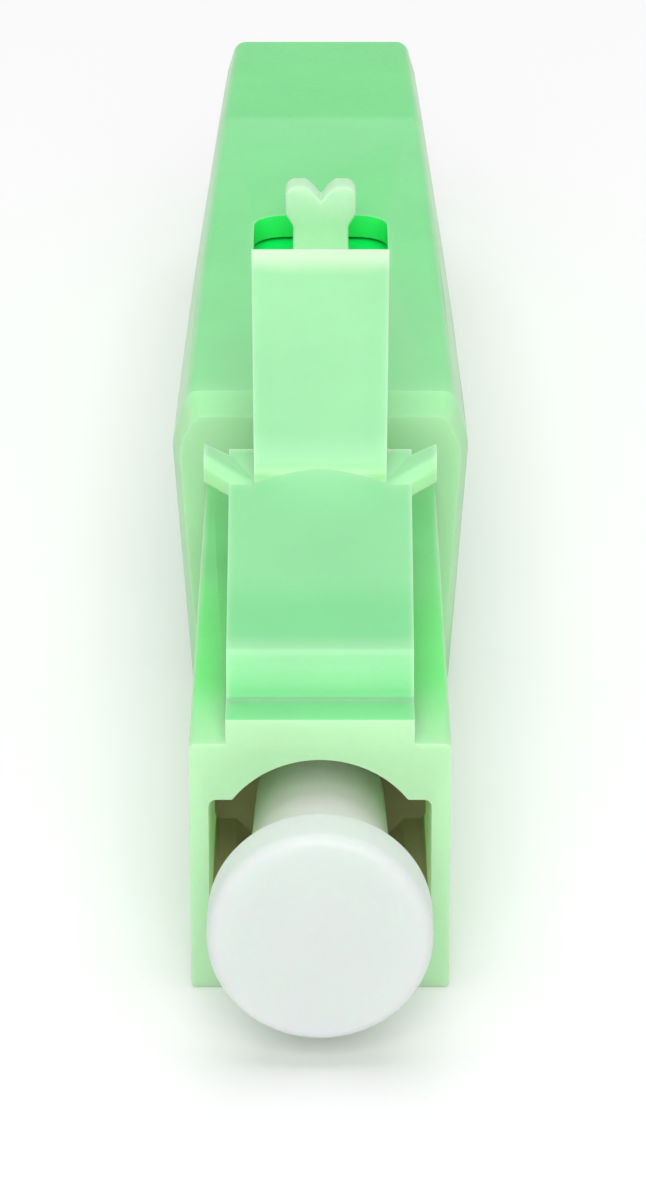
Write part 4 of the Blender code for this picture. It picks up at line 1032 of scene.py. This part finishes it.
rib_tree = bpy.data.node_groups.new("ribs_round_a_barrel", "GeometryNodeTree")
rib_tree.interface.new_socket("Geometry", in_out="OUTPUT", socket_type="NodeSocketGeometry")
rib_tree.interface.new_socket("Geometry", in_out="INPUT", socket_type="NodeSocketGeometry")
rib_sockets = {}
for label, kind, value in (
    ("Count", "NodeSocketInt", 16),
    ("Barrel Radius", "NodeSocketFloat", 0.0019),
    ("Rib Radius", "NodeSocketFloat", 0.00012),
    ("Rib Length", "NodeSocketFloat", 0.0045),
):
    socket = rib_tree.interface.new_socket(label, in_out="INPUT", socket_type=kind)
    socket.default_value = value
    rib_sockets[label] = socket.identifier
rib_in = rib_tree.nodes.new("NodeGroupInput")
rib_out = rib_tree.nodes.new("NodeGroupOutput")
rib_ring = rib_tree.nodes.new("GeometryNodeCurvePrimitiveCircle")
rib_points = rib_tree.nodes.new("GeometryNodeCurveToPoints")
rib_points.mode = "COUNT"
rib_shape = rib_tree.nodes.new("GeometryNodeMeshUVSphere")
rib_shape.inputs["Segments"].default_value = 12
rib_shape.inputs["Rings"].default_value = 12
rib_size = rib_tree.nodes.new("ShaderNodeCombineXYZ")
rib_half = rib_tree.nodes.new("ShaderNodeMath")
rib_half.operation = "MULTIPLY"
rib_half.inputs[1].default_value = 0.5
rib_stretch = rib_tree.nodes.new("GeometryNodeTransform")
rib_copy = rib_tree.nodes.new("GeometryNodeInstanceOnPoints")
rib_real = rib_tree.nodes.new("GeometryNodeRealizeInstances")
rib_paint = rib_tree.nodes.new("GeometryNodeSetMaterial")
rib_paint.inputs["Material"].default_value = shell_green
rib_shape.inputs["Radius"].default_value = 1.0
link = rib_tree.links.new
link(rib_in.outputs["Barrel Radius"], rib_ring.inputs["Radius"])
link(rib_ring.outputs["Curve"], rib_points.inputs["Curve"])
link(rib_in.outputs["Count"], rib_points.inputs["Count"])
link(rib_in.outputs["Rib Radius"], rib_size.inputs["X"])
link(rib_in.outputs["Rib Radius"], rib_size.inputs["Y"])
link(rib_in.outputs["Rib Length"], rib_half.inputs[0])
link(rib_half.outputs[0], rib_size.inputs["Z"])
link(rib_shape.outputs["Mesh"], rib_stretch.inputs["Geometry"])
link(rib_size.outputs["Vector"], rib_stretch.inputs["Scale"])
link(rib_points.outputs["Points"], rib_copy.inputs["Points"])
link(rib_stretch.outputs["Geometry"], rib_copy.inputs["Instance"])
link(rib_copy.outputs["Instances"], rib_real.inputs["Geometry"])
link(rib_real.outputs["Geometry"], rib_paint.inputs["Geometry"])
link(rib_paint.outputs["Geometry"], rib_out.inputs["Geometry"])
ribs_piece = grown(
    "tail_nut_ribs", rib_tree,
    {rib_sockets["Count"]: 16, rib_sockets["Barrel Radius"]: (body_radius - 0.14) * MM,
     rib_sockets["Rib Radius"]: 0.16 * MM, rib_sockets["Rib Length"]: 4.9 * MM},
    along((nut_from + nut_to) / 2),
)
combine(nut_piece, "UNION", ribs_piece)
nut_piece.data.shade_smooth()
nut_piece.data.set_sharp_from_angle(angle=math.radians(40))
# The nut takes the shell's material, and with it the painted shade of its upward faces.
placed(nut_piece, "nut", "tail_nut", shell_green)

rubber = moulded(
    "black_rubber", wall=(0.022, 0.022, 0.022), edge=(0.05, 0.05, 0.05), highlight_width=0.1, highlight_gain=1.0,
    mottle=0.2, gloss=0.62, grain=0.6,
)
grommet_piece = turned(
    "cable_grommet_ring",
    [(cable_bore - 0.05, recess + 0.05), (nut_narrow + 0.12, recess + 0.05),
     (nut_narrow + 0.15, recess + 0.1), (nut_narrow + 0.15, nut_to - 0.15),
     (nut_narrow + 0.05, nut_to - 0.05), (cable_bore + 0.05, nut_to - 0.05),
     (cable_bore - 0.1, recess + 0.55), (cable_bore - 0.15, recess + 0.4), (cable_bore - 0.1, recess + 0.25)],
)
grommet_piece.data.shade_smooth()
grommet_piece.data.set_sharp_from_angle(angle=math.radians(40))
placed(grommet_piece, "nut", "cable_grommet", rubber)
